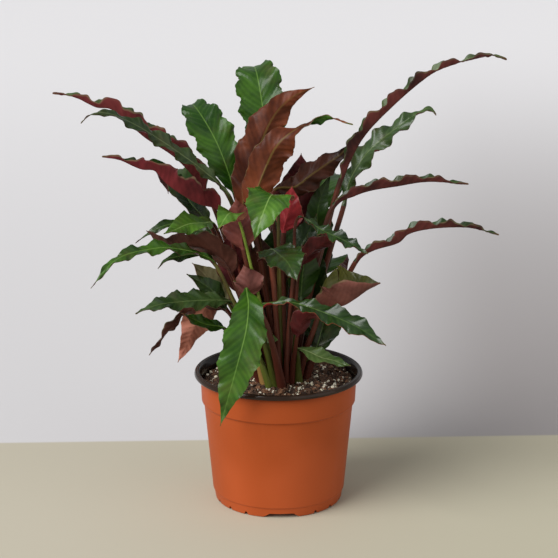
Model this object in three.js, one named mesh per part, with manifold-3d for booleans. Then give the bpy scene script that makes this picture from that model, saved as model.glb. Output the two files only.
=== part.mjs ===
// Potted calathea: a tapered nursery pot, its plug of potting mix and the leaves
// that rise from it. Millimetres, Z up, front towards -Y, foot of the pot on Z = 0.
import * as THREE from 'three';
import Module from 'manifold-3d';

const wasm = await Module();
wasm.setup();

// ---------------------------------------------------------------- driving sizes
const POT_RIM_RADIUS = 82.5;
const POT_HEIGHT = 130.5;
const POT_WALL = 1.6;
const POT_SEGMENTS = 48;
const LIP_HEIGHT = 5.2;
const LIP_INNER_RADIUS = 77;
const BAND_TOP_RADIUS = 76.2;
const BAND_BOTTOM_RADIUS = 75.3;
const BAND_BOTTOM_Z = 100.4;
const BODY_TOP_RADIUS = 73.1;
const BODY_TOP_Z = 98.8;
const BODY_BOTTOM_RADIUS = 65;
const BODY_BOTTOM_Z = 10.4;
const FOOT_RADIUS = 62.4;
const FOOT_RING_WIDTH = 2.8;
const FLOOR_UNDERSIDE_Z = 4.8;
const FLOOR_THICKNESS = 1.8;

const SLOT_COUNT = 3;
const SLOT_HEIGHT = 4.2;
const SLOT_BOTTOM_WIDTH = 36;
const SLOT_TOP_WIDTH = 23;
const SLOT_TURN_DEG = -87.5;
const NOTCH_OFFSETS_DEG = [32.5, 50.8, 69.2, 87.5];
const NOTCH_HEIGHT = 3.6;
const NOTCH_WIDTH = 4.8;
const DRAIN_COUNT = 4;
const DRAIN_RADIUS = 4.5;
const DRAIN_CIRCLE_RADIUS = 38;

const SOIL_GAP = 0.4;
const SOIL_EDGE_Z = 117.5;
const SOIL_CROWN = 4.5;
const SOIL_LUMP = 0.9;
const SOIL_RINGS = 5;
const STALK_DEPTH = 14;
const HOLE_CLEARANCE = 0.7;

const BLADE_THICKNESS = 0.9;
const TIP_HALF_WIDTH = 0.5;
const TIP_POINT = 0.45;
const SCALLOP = 0.08;
const PATH_STEPS = 240;
const STATIONS_PER_WAVE = 4;
const STALK_STATIONS = 4;
const STALK_RADIUS = 1.3;
const STALK_LEAN = 1.2;
const FOOT_STALK_RADIUS = 1.8;

// ---------------------------------------------------------------- colours
const TERRACOTTA = 0x9c4a22;
const POTTING_MIX = 0x35271f;
const GREEN = 0x43652f;
const BURGUNDY = 0x5b2426;

// ---------------------------------------------------------------- leaves
// root: where the stalk leaves the mix; blade: midrib from its base to its tip;
// face: the way the green side looks at mid length; turn: degrees the outer part
// is turned; waves and swell: edge waves and their height; fold: how far the two
// halves rise for each millimetre of width; foot and stalk: radius of the stalk in
// the mix and at the blade; peak: below 0.82 moves the broadest part towards the base;
// point: how slim the tip runs out; scallop: share by which the edge waves in and out.
const LEAVES = [
  { name: 'leaf_far_left_high', tone: BURGUNDY, root: [-9.5, 6], width: 13,
    face: [0.35, 0.3, 0.8], blade: [[-69, 10, 305], [-96, -1, 341], [-125, -6, 362], [-156, -9, 389],
      [-170, -10, 391], [-190, -12, 401], [-210, -14, 404]], waves: 7, swell: 2.6, phase: 0.4, fold: 2,
      foot: 2.9, stalk: 2.1, peak: 0.55 },
  { name: 'leaf_left_high', tone: GREEN, root: [-3, -3.5], width: 17,
    face: [0.45, -0.5, 0.7], blade: [[-47, -12, 306], [-67, -23, 330], [-131, -49, 381],
      [-154, -55, 392], [-166, -57, 393], [-173, -58, 390], [-179, -60, 384]], waves: 6, swell: 3.4,
      phase: 1.2, fold: 0.15, foot: 2.9, stalk: 2.3 },
  { name: 'leaf_left_upper', tone: BURGUNDY, root: [-11, -11.5], width: 16,
    face: [0.25, 0.35, 0.85], blade: [[-54.5, -21, 294], [-74.5, -31, 304], [-90.5, -38, 315],
      [-104, -42, 326], [-114, -45.5, 338], [-126, -48.5, 340], [-148, -51.5, 350],
      [-161.5, -53.5, 352]], waves: 5, swell: 2.8, phase: 2, fold: 1.8, foot: 2.1, stalk: 1.45,
      peak: 0.5 },
  { name: 'leaf_left_folded', tone: GREEN, root: [-13.5, -0.5], width: 34,
    face: [0.5, -0.7, 0.5], blade: [[-66, -1, 275], [-84, 3, 296], [-97, 17, 315], [-109, 39.5, 319],
      [-109, 61.5, 292]], waves: 4, swell: 2.5, phase: 0.5, fold: 0.3, foot: 2.1, stalk: 1.45 },
  { name: 'leaf_left_lobe', tone: GREEN, root: [-14, -5], width: 24,
    face: [0.1, -0.7, 0.7], blade: [[-62, -8, 278], [-71, -21, 282], [-84, -38, 285], [-96, -57, 284],
      [-105, -72, 284]], waves: 2, swell: 3, phase: 1.4, fold: 0.2, foot: 2.3, stalk: 1.7 },
  { name: 'leaf_left_thread', tone: GREEN, root: [-14, 10.5], width: 10,
    face: [0, -0.5, 0.85], blade: [[-67, 14, 273], [-86, 10, 275], [-101, 6, 275], [-114, 2, 272],
      [-126, -1, 266], [-137, -4, 258]], waves: 2, swell: 2, phase: 0.3, fold: 0.25, foot: 2.8,
      stalk: 1.7 },
  { name: 'leaf_left_inner_small', tone: GREEN, root: [-12.5, 16], width: 15,
    face: [0, -0.6, 0.8], blade: [[-61, 22, 252], [-71, 28, 261], [-85, 34, 262], [-97, 40, 254]],
      waves: 2, swell: 2, phase: 2.2, fold: 0.2, foot: 2.8, stalk: 1.7 },
  { name: 'leaf_left_brown', tone: BURGUNDY, root: [-8, -5], width: 32,
    face: [0.2, 0.75, 0.6], blade: [[-43.5, -16, 230], [-50, -20.5, 244], [-59.5, -24.5, 254],
      [-74, -28, 261], [-105.5, -33.5, 266], [-124, -35, 278]], waves: 4, swell: 2.5, phase: 0.9,
      fold: 0.3, foot: 2.3, stalk: 1.45 },
  { name: 'leaf_left_long', tone: GREEN, root: [-9, -29.5], width: 15,
    face: [0.1, -0.5, 0.85], blade: [[-61, -42, 249], [-74, -52, 260], [-90, -63, 267],
      [-104, -72, 271], [-116, -81, 272], [-140, -98, 270], [-152, -105, 263], [-168, -118, 245]],
      waves: 5, swell: 3, phase: 0, fold: 0.15, foot: 2.5, stalk: 1.7 },
  { name: 'leaf_left_wavy_small', tone: GREEN, root: [-16, -11.5], width: 13,
    face: [0.1, -0.5, 0.85], blade: [[-61, -19, 243], [-71, -27, 252], [-82, -35, 255],
      [-93, -42, 255], [-104, -50, 254], [-112, -57, 247]], waves: 2, swell: 2.5, phase: 1.1, fold: 0.2,
      foot: 2.8 },
  { name: 'leaf_left_grey', tone: GREEN, root: [-18.5, 6], width: 27,
    face: [0.4, -0.8, 0.4], blade: [[-49, 10, 195], [-58, 14, 207], [-70, 15, 220], [-84, 14, 234]],
      waves: 2, swell: 2, phase: 0.7, fold: 0.15, foot: 2.9, stalk: 1.7 },
  { name: 'leaf_left_hook', tone: GREEN, root: [-11, -17], width: 19,
    face: [0.4, -0.8, 0.5], blade: [[-50, -21, 198], [-63, -25, 217], [-87, -31, 235]], waves: 2,
      swell: 2, phase: 1.9, fold: 0.2, foot: 2.9, stalk: 1.7 },
  { name: 'leaf_hanging_back_left', tone: BURGUNDY, root: [-13, 22], width: 31,
    face: [-0.25, 0.95, 0.15], blade: [[-54, 26, 204], [-65, 38, 191], [-76, 47, 173], [-85, 53, 155],
      [-93, 56, 137], [-102, 58, 118]], waves: 3, swell: 3, phase: 0.8, fold: 0.15, foot: 2.9,
      stalk: 1.7 },
  { name: 'leaf_left_low_broad', tone: GREEN, root: [-13, -23], width: 25,
    face: [0, -0.55, 0.83], blade: [[-44, -30, 206], [-52, -35, 210], [-105, -66, 216],
      [-120, -73, 214], [-132, -80, 210]], waves: 5, swell: 2.6, phase: 2.4, fold: 0.12, foot: 2.9,
      stalk: 1.7 },
  { name: 'leaf_left_low_small', tone: GREEN, root: [-18, -17], width: 15,
    face: [0, -0.6, 0.8], blade: [[-52, -30, 181], [-71, -38, 188], [-92, -46, 201]], waves: 2,
      swell: 2, phase: 0.2, fold: 0.2, foot: 2.9, stalk: 1.7 },
  { name: 'leaf_hanging_left', tone: BURGUNDY, root: [-19, -1], width: 17,
    face: [-0.6, 0.6, 0.5], blade: [[-49, 0, 188], [-63, -5, 196], [-78, -10, 197], [-92, -13, 190],
      [-102, -16, 180], [-125, -18, 150]], waves: 4, swell: 2.5, phase: 1.5, fold: 0.15, foot: 2.9,
      stalk: 1.7 },
  { name: 'leaf_front_hanging', tone: GREEN, root: [-3, -29], width: 38,
    face: [0.05, -0.95, 0.3], blade: [[-30, -48, 224], [-28, -62, 214], [-30, -78, 194],
      [-38, -90, 164], [-54, -98, 107]], waves: 5, swell: 2.6, phase: 0.6, fold: 0.12, foot: 3,
      stalk: 2.5 },
  { name: 'leaf_front_curled', tone: BURGUNDY, root: [-6, -20.5], width: 29,
    face: [0, 0.9, 0.4], blade: [[-29, -30, 212], [-28, -37, 226], [-33, -34.5, 245]], waves: 2,
      swell: 2, phase: 2.9, fold: 0.4, foot: 2.1, stalk: 1.5 },
  { name: 'leaf_front_left_light', tone: GREEN, root: [-3, -17], width: 24,
    face: [-0.1, -0.7, 0.7], blade: [[-37, -34, 287], [-45, -58, 300], [-55, -82, 290]], waves: 2,
      swell: 2.5, phase: 0.9, fold: 0.15, foot: 2 },
  { name: 'leaf_inner_pink', tone: BURGUNDY, root: [-6, -12], width: 33,
    face: [-0.1, 0.95, 0.2], blade: [[-33, -27.5, 258], [-35, -27.5, 275], [-40, -23.5, 307]],
      waves: 2, swell: 2.5, phase: 1.7, fold: 0.2, foot: 2.5, stalk: 2.5 },
  { name: 'leaf_front_bright', tone: GREEN, root: [2.5, -15], width: 42,
    face: [-0.05, -0.8, 0.6], blade: [[-1, -30, 302], [-6, -52, 316], [-13, -76, 307],
      [-22, -88, 282]], waves: 4, swell: 3, phase: 2.6, fold: 0.15, foot: 2.6, stalk: 1.5 },
  { name: 'leaf_inner_red', tone: BURGUNDY, root: [4.5, -8.5], width: 27,
    face: [0.2, 0.9, 0.2], blade: [[5, -12, 271], [9, -12, 289], [13, -8, 315]], waves: 2, swell: 2,
      phase: 0.1, fold: 0.2, foot: 2.8, stalk: 2.5 },
  { name: 'leaf_front_middle', tone: GREEN, root: [1.5, -20.5], width: 43,
    face: [0.1, -0.6, 0.75], blade: [[-7, -34, 258], [1, -56, 260], [9, -76, 257], [17, -90, 244]],
      waves: 4, swell: 3, phase: 1.3, fold: 0.12, foot: 2.5, stalk: 2.5 },
  { name: 'leaf_right_inner_under', tone: BURGUNDY, root: [8, -16], width: 23,
    face: [-0.3, 0.8, 0.5], blade: [[20, -27, 241], [33, -33, 259], [58, -38, 277]], waves: 2,
      swell: 2, phase: 0.5, fold: 0.2, foot: 2.5, stalk: 2.5 },
  { name: 'leaf_right_wavy', tone: GREEN, root: [6.5, -22.5], width: 15,
    face: [0.35, -0.6, 0.7], blade: [[19, -35, 291], [40, -49, 282], [58, -60, 276], [74, -71, 270],
      [82, -76, 266]], waves: 5, swell: 3, phase: 0.4, fold: 0.2, foot: 2.1, stalk: 1.45, peak: 1.3 },
  { name: 'leaf_right_narrow', tone: BURGUNDY, root: [9.5, -4.5], width: 7,
    face: [-0.2, 0.2, 0.9], blade: [[53, -6, 296], [71, -9, 307], [85, -10, 312], [112, -13, 317],
      [140, -14, 321], [179, -15, 318]], waves: 5, swell: 2.2, phase: 2.1, fold: 1.7, foot: 2.5,
      stalk: 2.5 },
  { name: 'leaf_right_low_arch', tone: BURGUNDY, root: [27, -5], width: 7,
    face: [-0.2, 0.15, 0.95], blade: [[74, -8, 241], [79, -9, 247], [91, -12, 255], [114, -15, 263],
      [122, -17, 271], [142, -20, 277], [182, -22, 278], [208, -24, 271]], waves: 6, swell: 2.4,
      phase: 1, fold: 1.6, foot: 3.3, stalk: 2.4 },
  { name: 'leaf_far_right_high', tone: BURGUNDY, root: [15.5, 2], width: 6.6,
    face: [-0.6, 0.25, 0.75], blade: [[60, 2, 321], [78, -2, 360], [107, -8, 393], [137, -15, 420],
      [150, -18, 428], [184, -22, 439], [196, -24, 441], [209.4, -26, 437]], waves: 7, swell: 3,
      phase: 0.3, fold: 2, foot: 2.4, stalk: 2.5, peak: 0.5 },
  { name: 'leaf_right_burgundy', tone: BURGUNDY, root: [0.5, 5.5], width: 25,
    face: [0.25, 0.9, -0.2], blade: [[-4, 13.5, 306], [16, 15.5, 309], [31, 17.5, 320],
      [47, 19.5, 331], [60, 21.5, 340], [69, 23.5, 350]], waves: 4, swell: 3.2, phase: 0.9, fold: 0.2,
      foot: 2.1, stalk: 2, point: 0.3, scallop: 0.14 },
  { name: 'leaf_crown_burgundy', tone: BURGUNDY, root: [-4.5, 2.5], width: 38,
    face: [-0.1, 1, 0], blade: [[-34, 2, 287], [-29, 4, 318], [-18, 8, 350], [-4, 12, 379],
      [13, 14, 396], [34, 12, 406]], waves: 5, swell: 3, phase: 0.6, fold: 0.3, foot: 3.1, stalk: 2.05,
      scallop: 0.1 },
  { name: 'leaf_crown_turned', tone: BURGUNDY, root: [-1, -9.5], width: 33,
    face: [-0.3, 0.9, -0.2], blade: [[-25, -15, 291], [-11, -16, 337], [-3, -17, 353], [7, -18, 364],
      [27, -21, 377], [38, -24, 382], [50, -27, 383], [69, -32, 378]], waves: 5, swell: 2.6, phase: 2.2,
      fold: 0.2, foot: 2.8, stalk: 2.5, turn: 150, peak: 0.6, point: 1 },
  { name: 'leaf_crown_broad', tone: GREEN, root: [1, 12], width: 44,
    face: [0, -0.97, 0.25], blade: [[-9, 36, 325], [-14, 46, 372], [-21, 66, 410], [-25, 98, 412],
      [-24, 119, 391]], waves: 7, swell: 2.6, phase: 1.1, fold: 0.12, foot: 3.2, stalk: 2.45,
      scallop: 0.1 },
  { name: 'leaf_crown_left', tone: GREEN, root: [-6.5, 12.5], width: 40,
    face: [0.3, -0.9, 0.3], blade: [[-42, 22, 301], [-58, 34, 345], [-74, 50, 371], [-85, 74, 379],
      [-89, 98, 365]], waves: 6, swell: 2.6, phase: 2.7, fold: 0.12, foot: 3.3, stalk: 2.45,
      scallop: 0.1 },
  { name: 'leaf_right_high', tone: GREEN, root: [21, 7], width: 24,
    face: [-0.62, -0.6, 0.5], blade: [[63, 18, 290], [69, 22, 314], [78, 24, 330], [89, 27, 344],
      [136, 37, 378], [145, 39, 381], [152, 40, 374]], waves: 5, swell: 4, phase: 0.8, fold: 0.15,
      foot: 3.3, stalk: 2.45, scallop: 0.12 },
  { name: 'leaf_right_upright', tone: GREEN, root: [13, 14], width: 30,
    face: [0, -1, 0.1], blade: [[37, 30, 204], [38, 28, 250], [39, 26, 289], [51, 30, 321]], waves: 3,
      swell: 2.5, phase: 1.6, fold: 0.2, foot: 3.3, stalk: 2.45 },
  { name: 'leaf_right_dark', tone: GREEN, root: [8, 2], width: 36,
    face: [-0.4, -0.9, 0.3], blade: [[13, 5.5, 215], [19, 8.5, 242], [37, 13.5, 283]], waves: 2,
      swell: 2, phase: 0.4, fold: 0.2, foot: 2.5, stalk: 2.45 },
  { name: 'leaf_right_trough', tone: GREEN, root: [19, -10.5], width: 40,
    face: [-0.2, -0.17, 0.95], blade: [[41, -18, 194], [50, -22, 201], [61, -28, 204], [72, -34, 212],
      [84, -39, 222], [96, -42, 229]], waves: 3, swell: 2.5, phase: 1.2, fold: 1.5, foot: 3.3,
      stalk: 2.3 },
  { name: 'leaf_front_right_long', tone: GREEN, root: [3, -31], width: 22,
    face: [0.1, -0.6, 0.75], blade: [[-16, -56, 210], [-3, -62, 216], [12, -69, 218], [68, -102, 206],
      [97, -120, 192]], waves: 5, swell: 3.4, phase: 0.2, fold: 0.2, foot: 3.4, stalk: 2.5, peak: 1.6 },
  { name: 'leaf_front_right_small', tone: BURGUNDY, root: [12.5, -19], width: 23,
    face: [-0.2, 0.7, 0.6], blade: [[18, -31, 173], [24, -37, 192], [42, -44, 206]], waves: 2,
      swell: 2, phase: 0.9, fold: 0.2, foot: 2.7, stalk: 1.75 },
  { name: 'leaf_low_right', tone: GREEN, root: [19, -18], width: 17,
    face: [0, -0.5, 0.85], blade: [[19, -23.5, 158], [29, -28.5, 157], [41, -34.5, 153],
      [53, -37.5, 151], [63, -41.5, 148], [69, -44.5, 148]], waves: 2, swell: 2.2, phase: 0.9,
      fold: 0.2, foot: 3.3, stalk: 1.6 },
  { name: 'leaf_front_drop', tone: GREEN, root: [-2, -23.5], width: 17,
    face: [0, -0.9, 0.4], blade: [[-7, -26.5, 175], [-10, -29.5, 169], [-11, -30.5, 165]], waves: 2,
      swell: 1.4, phase: 0.3, fold: 0.2, foot: 2 },
  { name: 'leaf_inner_dark', tone: BURGUNDY, root: [3.5, -2.5], width: 39,
    face: [0.1, 0.9, 0.2], blade: [[-7, -7, 198], [-12, -6, 222], [-18, -5, 266]], waves: 2, swell: 2,
      phase: 1, fold: 0.2, foot: 2.8, stalk: 2.45 },
  { name: 'leaf_right_inner_dark', tone: GREEN, root: [14, 6.5], width: 40,
    face: [-0.2, -0.95, 0.2], blade: [[25.5, 9, 185], [29.5, 10, 217], [36.5, 13, 256]], waves: 2,
      swell: 2, phase: 2.3, fold: 0.2, foot: 2.3, stalk: 2.45 },
  { name: 'leaf_right_inner_narrow', tone: GREEN, root: [11, -10], width: 30,
    face: [0.3, -0.9, 0.2], blade: [[21, -10, 203], [23, -12, 229], [28, -14, 268]], waves: 2,
      swell: 1.6, phase: 0.6, fold: 0.2, foot: 2.8, stalk: 2.5 },
  { name: 'leaf_back_left_high', tone: GREEN, root: [-5, 20], width: 44,
    face: [-0.1, -0.2, 1], blade: [[-24, 34, 290], [-34, 58, 318], [-42, 92, 320], [-50, 118, 298]],
      waves: 2, swell: 3, phase: 0.4, fold: 0.15, foot: 3.3, stalk: 2.45 },
  { name: 'leaf_back_middle', tone: GREEN, root: [3, 24], width: 44,
    face: [0, -0.2, 1], blade: [[4, 40, 246], [8, 66, 272], [12, 96, 276], [16, 120.2, 260]],
      waves: 3, swell: 3, phase: 1.4, fold: 0.15, foot: 3.3, stalk: 2.45 },
  { name: 'leaf_back_right_high', tone: GREEN, root: [7, 17.5], width: 44,
    face: [0.1, -0.2, 1], blade: [[30, 36, 270], [42, 60, 300], [56, 90, 306], [68, 114, 290]],
      waves: 2, swell: 3, phase: 2.2, fold: 0.15, foot: 3.3, stalk: 2.45 },
  { name: 'leaf_back_right_low', tone: GREEN, root: [10, 24], width: 40,
    face: [0.1, 0.2, 1], blade: [[26, 40, 196], [42, 66, 218], [58, 92, 218], [72, 112, 196]],
      waves: 2, swell: 3, phase: 0.1, fold: 0.15, foot: 3.3, stalk: 2.45 },
  { name: 'leaf_back_left_low', tone: GREEN, root: [-7, 27], width: 40,
    face: [-0.1, 0.2, 1], blade: [[-24, 44, 200], [-38, 70, 222], [-52, 96, 222], [-62, 118, 202]],
      waves: 2, swell: 3, phase: 1.8, fold: 0.15, foot: 3.3, stalk: 2.45 },
  { name: 'leaf_back_low_middle', tone: GREEN, root: [0, 30], width: 36,
    face: [0, 0.3, 1], blade: [[0, 46, 176], [0, 68, 190], [-2, 92, 184], [-4, 112, 164]], waves: 2,
      swell: 2.5, phase: 1.2, fold: 0.15, foot: 3.3, stalk: 2.45 },
  { name: 'leaf_inner_left_dark', tone: BURGUNDY, root: [-9, -0.5], width: 38,
    face: [-0.2, 0.9, 0.3], blade: [[-31.5, 1, 206], [-39.5, 3, 232], [-49.5, 7, 266]], waves: 2,
      swell: 2.5, phase: 0.7, fold: 0.2, foot: 2.1 },
  { name: 'leaf_inner_middle_dark', tone: BURGUNDY, root: [3.5, 2.5], width: 47,
    face: [0.05, -0.95, 0.2], blade: [[8, 16, 212], [7, 18, 244], [5, 22, 282]], waves: 2, swell: 2.5,
      phase: 2.1, fold: 0.2, foot: 1.9, stalk: 1.85 },
  { name: 'leaf_inner_right_low', tone: BURGUNDY, root: [15.5, -3], width: 36,
    face: [-0.3, -0.9, 0.3], blade: [[35, -11.5, 152], [43, -9.5, 178], [51, -7.5, 216]], waves: 2,
      swell: 2.2, phase: 0.3, fold: 0.2, foot: 2.3, stalk: 1.5 },
  { name: 'leaf_back_crown_dark', tone: BURGUNDY, root: [4, 8], width: 46,
    face: [0, 1, 0.1], blade: [[14, 28.5, 262], [20, 32.5, 292], [22, 36.5, 338]], waves: 2, swell: 3,
      phase: 0.9, fold: 0.25, foot: 2.2, stalk: 2.45 },
];

// ---------------------------------------------------------------- shared helpers
const toVector = (p) => new THREE.Vector3(p[0], p[1], p[2]);
const radians = THREE.MathUtils.degToRad;
const lerp = THREE.MathUtils.lerp;

function soilHeight(x, y) {
  const reach = Math.min(Math.hypot(x, y) / LIP_INNER_RADIUS, 1);
  const mound = SOIL_CROWN * (1 - reach * reach);
  const lumps = Math.sin(x * 0.31 + 1.3) * Math.cos(y * 0.27 - 0.6)
    + 0.6 * Math.sin(x * 0.53 - y * 0.47);
  return SOIL_EDGE_Z + mound + SOIL_LUMP * lumps;
}

function solidFrom(positions, triangles) {
  const mesh = new wasm.Mesh({
    numProp: 3,
    vertProperties: new Float32Array(positions),
    triVerts: new Uint32Array(triangles),
  });
  return new wasm.Manifold(mesh);
}

function solidFromGeometry(geometry) {
  const position = geometry.getAttribute('position');
  const index = geometry.getIndex();
  const seen = new Map();
  const positions = [];
  const remap = [];
  for (let i = 0; i < position.count; i += 1) {
    const p = [position.getX(i), position.getY(i), position.getZ(i)];
    const key = p.map((value) => Math.round(value * 1e4)).join(',');
    if (!seen.has(key)) {
      seen.set(key, positions.length / 3);
      positions.push(...p);
    }
    remap.push(seen.get(key));
  }
  const triangles = [];
  for (let i = 0; i < index.count; i += 3) {
    const [a, b, c] = [0, 1, 2].map((k) => remap[index.getX(i + k)]);
    if (a !== b && b !== c && c !== a) triangles.push(a, b, c);
  }
  return solidFrom(positions, triangles);
}

function geometryFromSolid(solid) {
  const mesh = solid.getMesh();
  const geometry = new THREE.BufferGeometry();
  geometry.setAttribute('position', new THREE.Float32BufferAttribute(mesh.vertProperties, 3));
  geometry.setIndex(new THREE.Uint32BufferAttribute(mesh.triVerts, 1));
  return geometry;
}

function namedMesh(name, geometry, color, roughness) {
  geometry.computeVertexNormals();
  const material = new THREE.MeshStandardMaterial({ color, roughness, metalness: 0 });
  material.name = name;
  const mesh = new THREE.Mesh(geometry, material);
  mesh.name = name;
  return mesh;
}

// A closed profile of [radius, height] pairs swept round an upright axis at x, y.
function turnedSolid(profile, segments, x = 0, y = 0) {
  const points = profile.map(([r, z]) => new THREE.Vector2(r, z));
  const geometry = new THREE.LatheGeometry(points, segments);
  geometry.rotateX(Math.PI / 2);
  geometry.translate(x, y, 0);
  return solidFromGeometry(geometry);
}

// A prism along the given bearing, its outline given across and up.
function radialPrism(outline, bearingDeg, inner, outer) {
  const shape = new THREE.Shape(outline.map(([x, y]) => new THREE.Vector2(x, y)));
  const geometry = new THREE.ExtrudeGeometry(shape, { depth: outer - inner, bevelEnabled: false });
  geometry.translate(0, 0, inner);
  const across = new THREE.Vector3(0, 1, 0);
  const up = new THREE.Vector3(0, 0, 1);
  const along = new THREE.Vector3(1, 0, 0);
  geometry.applyMatrix4(new THREE.Matrix4().makeBasis(across, up, along));
  geometry.rotateZ(radians(bearingDeg));
  geometry.setIndex([...Array(geometry.getAttribute('position').count).keys()]);
  return solidFromGeometry(geometry);
}

// ---------------------------------------------------------------- pot
function potProfile() {
  const lipBottom = POT_HEIGHT - LIP_HEIGHT;
  const floorTop = FLOOR_UNDERSIDE_Z + FLOOR_THICKNESS;
  const footInner = FOOT_RADIUS - FOOT_RING_WIDTH;
  return [
    [0, FLOOR_UNDERSIDE_Z],
    [footInner - 1.4, FLOOR_UNDERSIDE_Z],
    [footInner, 0],
    [FOOT_RADIUS, 0],
    [FOOT_RADIUS + 1.6, BODY_BOTTOM_Z - 1],
    [BODY_BOTTOM_RADIUS, BODY_BOTTOM_Z],
    [BODY_TOP_RADIUS, BODY_TOP_Z],
    [BAND_BOTTOM_RADIUS, BAND_BOTTOM_Z],
    [BAND_TOP_RADIUS, lipBottom - 2.6],
    [BAND_TOP_RADIUS - 0.8, lipBottom - 1.3],
    [BAND_TOP_RADIUS + 0.8, lipBottom],
    [POT_RIM_RADIUS - 0.7, lipBottom + 0.3],
    [POT_RIM_RADIUS, lipBottom + 2],
    [POT_RIM_RADIUS - 1.2, POT_HEIGHT - 0.3],
    [POT_RIM_RADIUS - 3.4, POT_HEIGHT],
    [LIP_INNER_RADIUS, POT_HEIGHT - 1.6],
    [BAND_TOP_RADIUS - POT_WALL, lipBottom - 2.6],
    [BAND_BOTTOM_RADIUS - POT_WALL, BAND_BOTTOM_Z + 1],
    [BODY_TOP_RADIUS - POT_WALL, BODY_TOP_Z],
    [BODY_BOTTOM_RADIUS - POT_WALL, BODY_BOTTOM_Z + 0.6],
    [FOOT_RADIUS - POT_WALL, floorTop],
    [0, floorTop],
  ];
}

function footSlot(bearingDeg) {
  const low = SLOT_BOTTOM_WIDTH / 2;
  const high = SLOT_TOP_WIDTH / 2;
  const outline = [
    [-low - 2, -1], [low + 2, -1], [low, 0], [high, SLOT_HEIGHT], [-high, SLOT_HEIGHT], [-low, 0],
  ];
  return radialPrism(outline, bearingDeg, FOOT_RADIUS - 12, FOOT_RADIUS + 6);
}

function footNotch(bearingDeg) {
  const half = NOTCH_WIDTH / 2;
  const outline = [
    [-half, -1], [half, -1], [half, 0], [0.4, NOTCH_HEIGHT], [-0.4, NOTCH_HEIGHT], [-half, 0],
  ];
  return radialPrism(outline, bearingDeg, FOOT_RADIUS - 6, FOOT_RADIUS + 4);
}

function drainHole(index) {
  const bearing = radians(SLOT_TURN_DEG + 45 + (360 / DRAIN_COUNT) * index);
  const x = DRAIN_CIRCLE_RADIUS * Math.cos(bearing);
  const y = DRAIN_CIRCLE_RADIUS * Math.sin(bearing);
  return turnedSolid([[0, 0], [DRAIN_RADIUS, 0], [DRAIN_RADIUS, 12], [0, 12]], 8, x, y);
}

function makePot() {
  let pot = turnedSolid(potProfile(), POT_SEGMENTS);
  for (let slot = 0; slot < SLOT_COUNT; slot += 1) {
    const bearing = SLOT_TURN_DEG + (360 / SLOT_COUNT) * slot;
    pot = pot.subtract(footSlot(bearing));
    for (const offset of NOTCH_OFFSETS_DEG) {
      pot = pot.subtract(footNotch(bearing + offset));
    }
  }
  for (let index = 0; index < DRAIN_COUNT; index += 1) {
    pot = pot.subtract(drainHole(index));
  }
  return namedMesh('pot', geometryFromSolid(pot), TERRACOTTA, 0.45);
}

// ---------------------------------------------------------------- potting mix
function soilWall() {
  const floorTop = FLOOR_UNDERSIDE_Z + FLOOR_THICKNESS;
  return [
    [FOOT_RADIUS - POT_WALL - SOIL_GAP - 0.4, floorTop + SOIL_GAP],
    [BODY_BOTTOM_RADIUS - POT_WALL - SOIL_GAP, BODY_BOTTOM_Z + 1],
    [BODY_TOP_RADIUS - POT_WALL - SOIL_GAP, BODY_TOP_Z],
    [BAND_BOTTOM_RADIUS - POT_WALL - SOIL_GAP, BAND_BOTTOM_Z + 1.4],
  ];
}

function soilPlug() {
  const positions = [0, 0, FLOOR_UNDERSIDE_Z + FLOOR_THICKNESS + SOIL_GAP];
  const addRing = (radius, heightAt) => {
    for (let k = 0; k < POT_SEGMENTS; k += 1) {
      const angle = (2 * Math.PI * k) / POT_SEGMENTS;
      const x = radius * Math.sin(angle);
      const y = radius * Math.cos(angle);
      positions.push(x, y, heightAt(x, y));
    }
  };
  for (const [radius, z] of soilWall()) addRing(radius, () => z);
  const topRadius = BAND_BOTTOM_RADIUS - POT_WALL - SOIL_GAP + 0.3;
  for (let ring = SOIL_RINGS; ring > 0; ring -= 1) addRing((topRadius * ring) / SOIL_RINGS, soilHeight);
  positions.push(0, 0, soilHeight(0, 0));
  const rings = soilWall().length + SOIL_RINGS;
  const last = positions.length / 3 - 1;
  const at = (ring, k) => 1 + ring * POT_SEGMENTS + (k % POT_SEGMENTS);
  const triangles = [];
  for (let k = 0; k < POT_SEGMENTS; k += 1) {
    triangles.push(0, at(0, k), at(0, k + 1));
    for (let ring = 0; ring < rings - 1; ring += 1) {
      triangles.push(at(ring, k), at(ring + 1, k), at(ring + 1, k + 1));
      triangles.push(at(ring, k), at(ring + 1, k + 1), at(ring, k + 1));
    }
    triangles.push(last, at(rings - 1, k + 1), at(rings - 1, k));
  }
  return solidFrom(positions, triangles);
}

// Six-sided hole with the same corners as the stalk that stands in it.
function stalkHole(leaf) {
  const [x, y] = leaf.root;
  const radius = (leaf.foot ?? FOOT_STALK_RADIUS) + HOLE_CLEARANCE;
  const bottom = soilHeight(x, y) - STALK_DEPTH - HOLE_CLEARANCE;
  const top = bottom + 30;
  return turnedSolid([[0, bottom], [radius, bottom], [radius, top], [0, top]], 6, x, y);
}

function makeSoil() {
  let soil = soilPlug();
  for (const leaf of LEAVES) soil = soil.subtract(stalkHole(leaf));
  return namedMesh('potting_mix', geometryFromSolid(soil), POTTING_MIX, 0.95);
}

// ---------------------------------------------------------------- leaf form
function stalkPoints(leaf) {
  const [x, y] = leaf.root;
  const foot = new THREE.Vector3(x, y, soilHeight(x, y) + 3);
  const neck = toVector(leaf.blade[0]);
  const bends = [0.35, 0.7].map((f) => {
    const lean = f ** STALK_LEAN;
    return new THREE.Vector3(lerp(x, neck.x, lean), lerp(y, neck.y, lean), lerp(foot.z, neck.z, f));
  });
  return [foot, ...bends];
}

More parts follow.
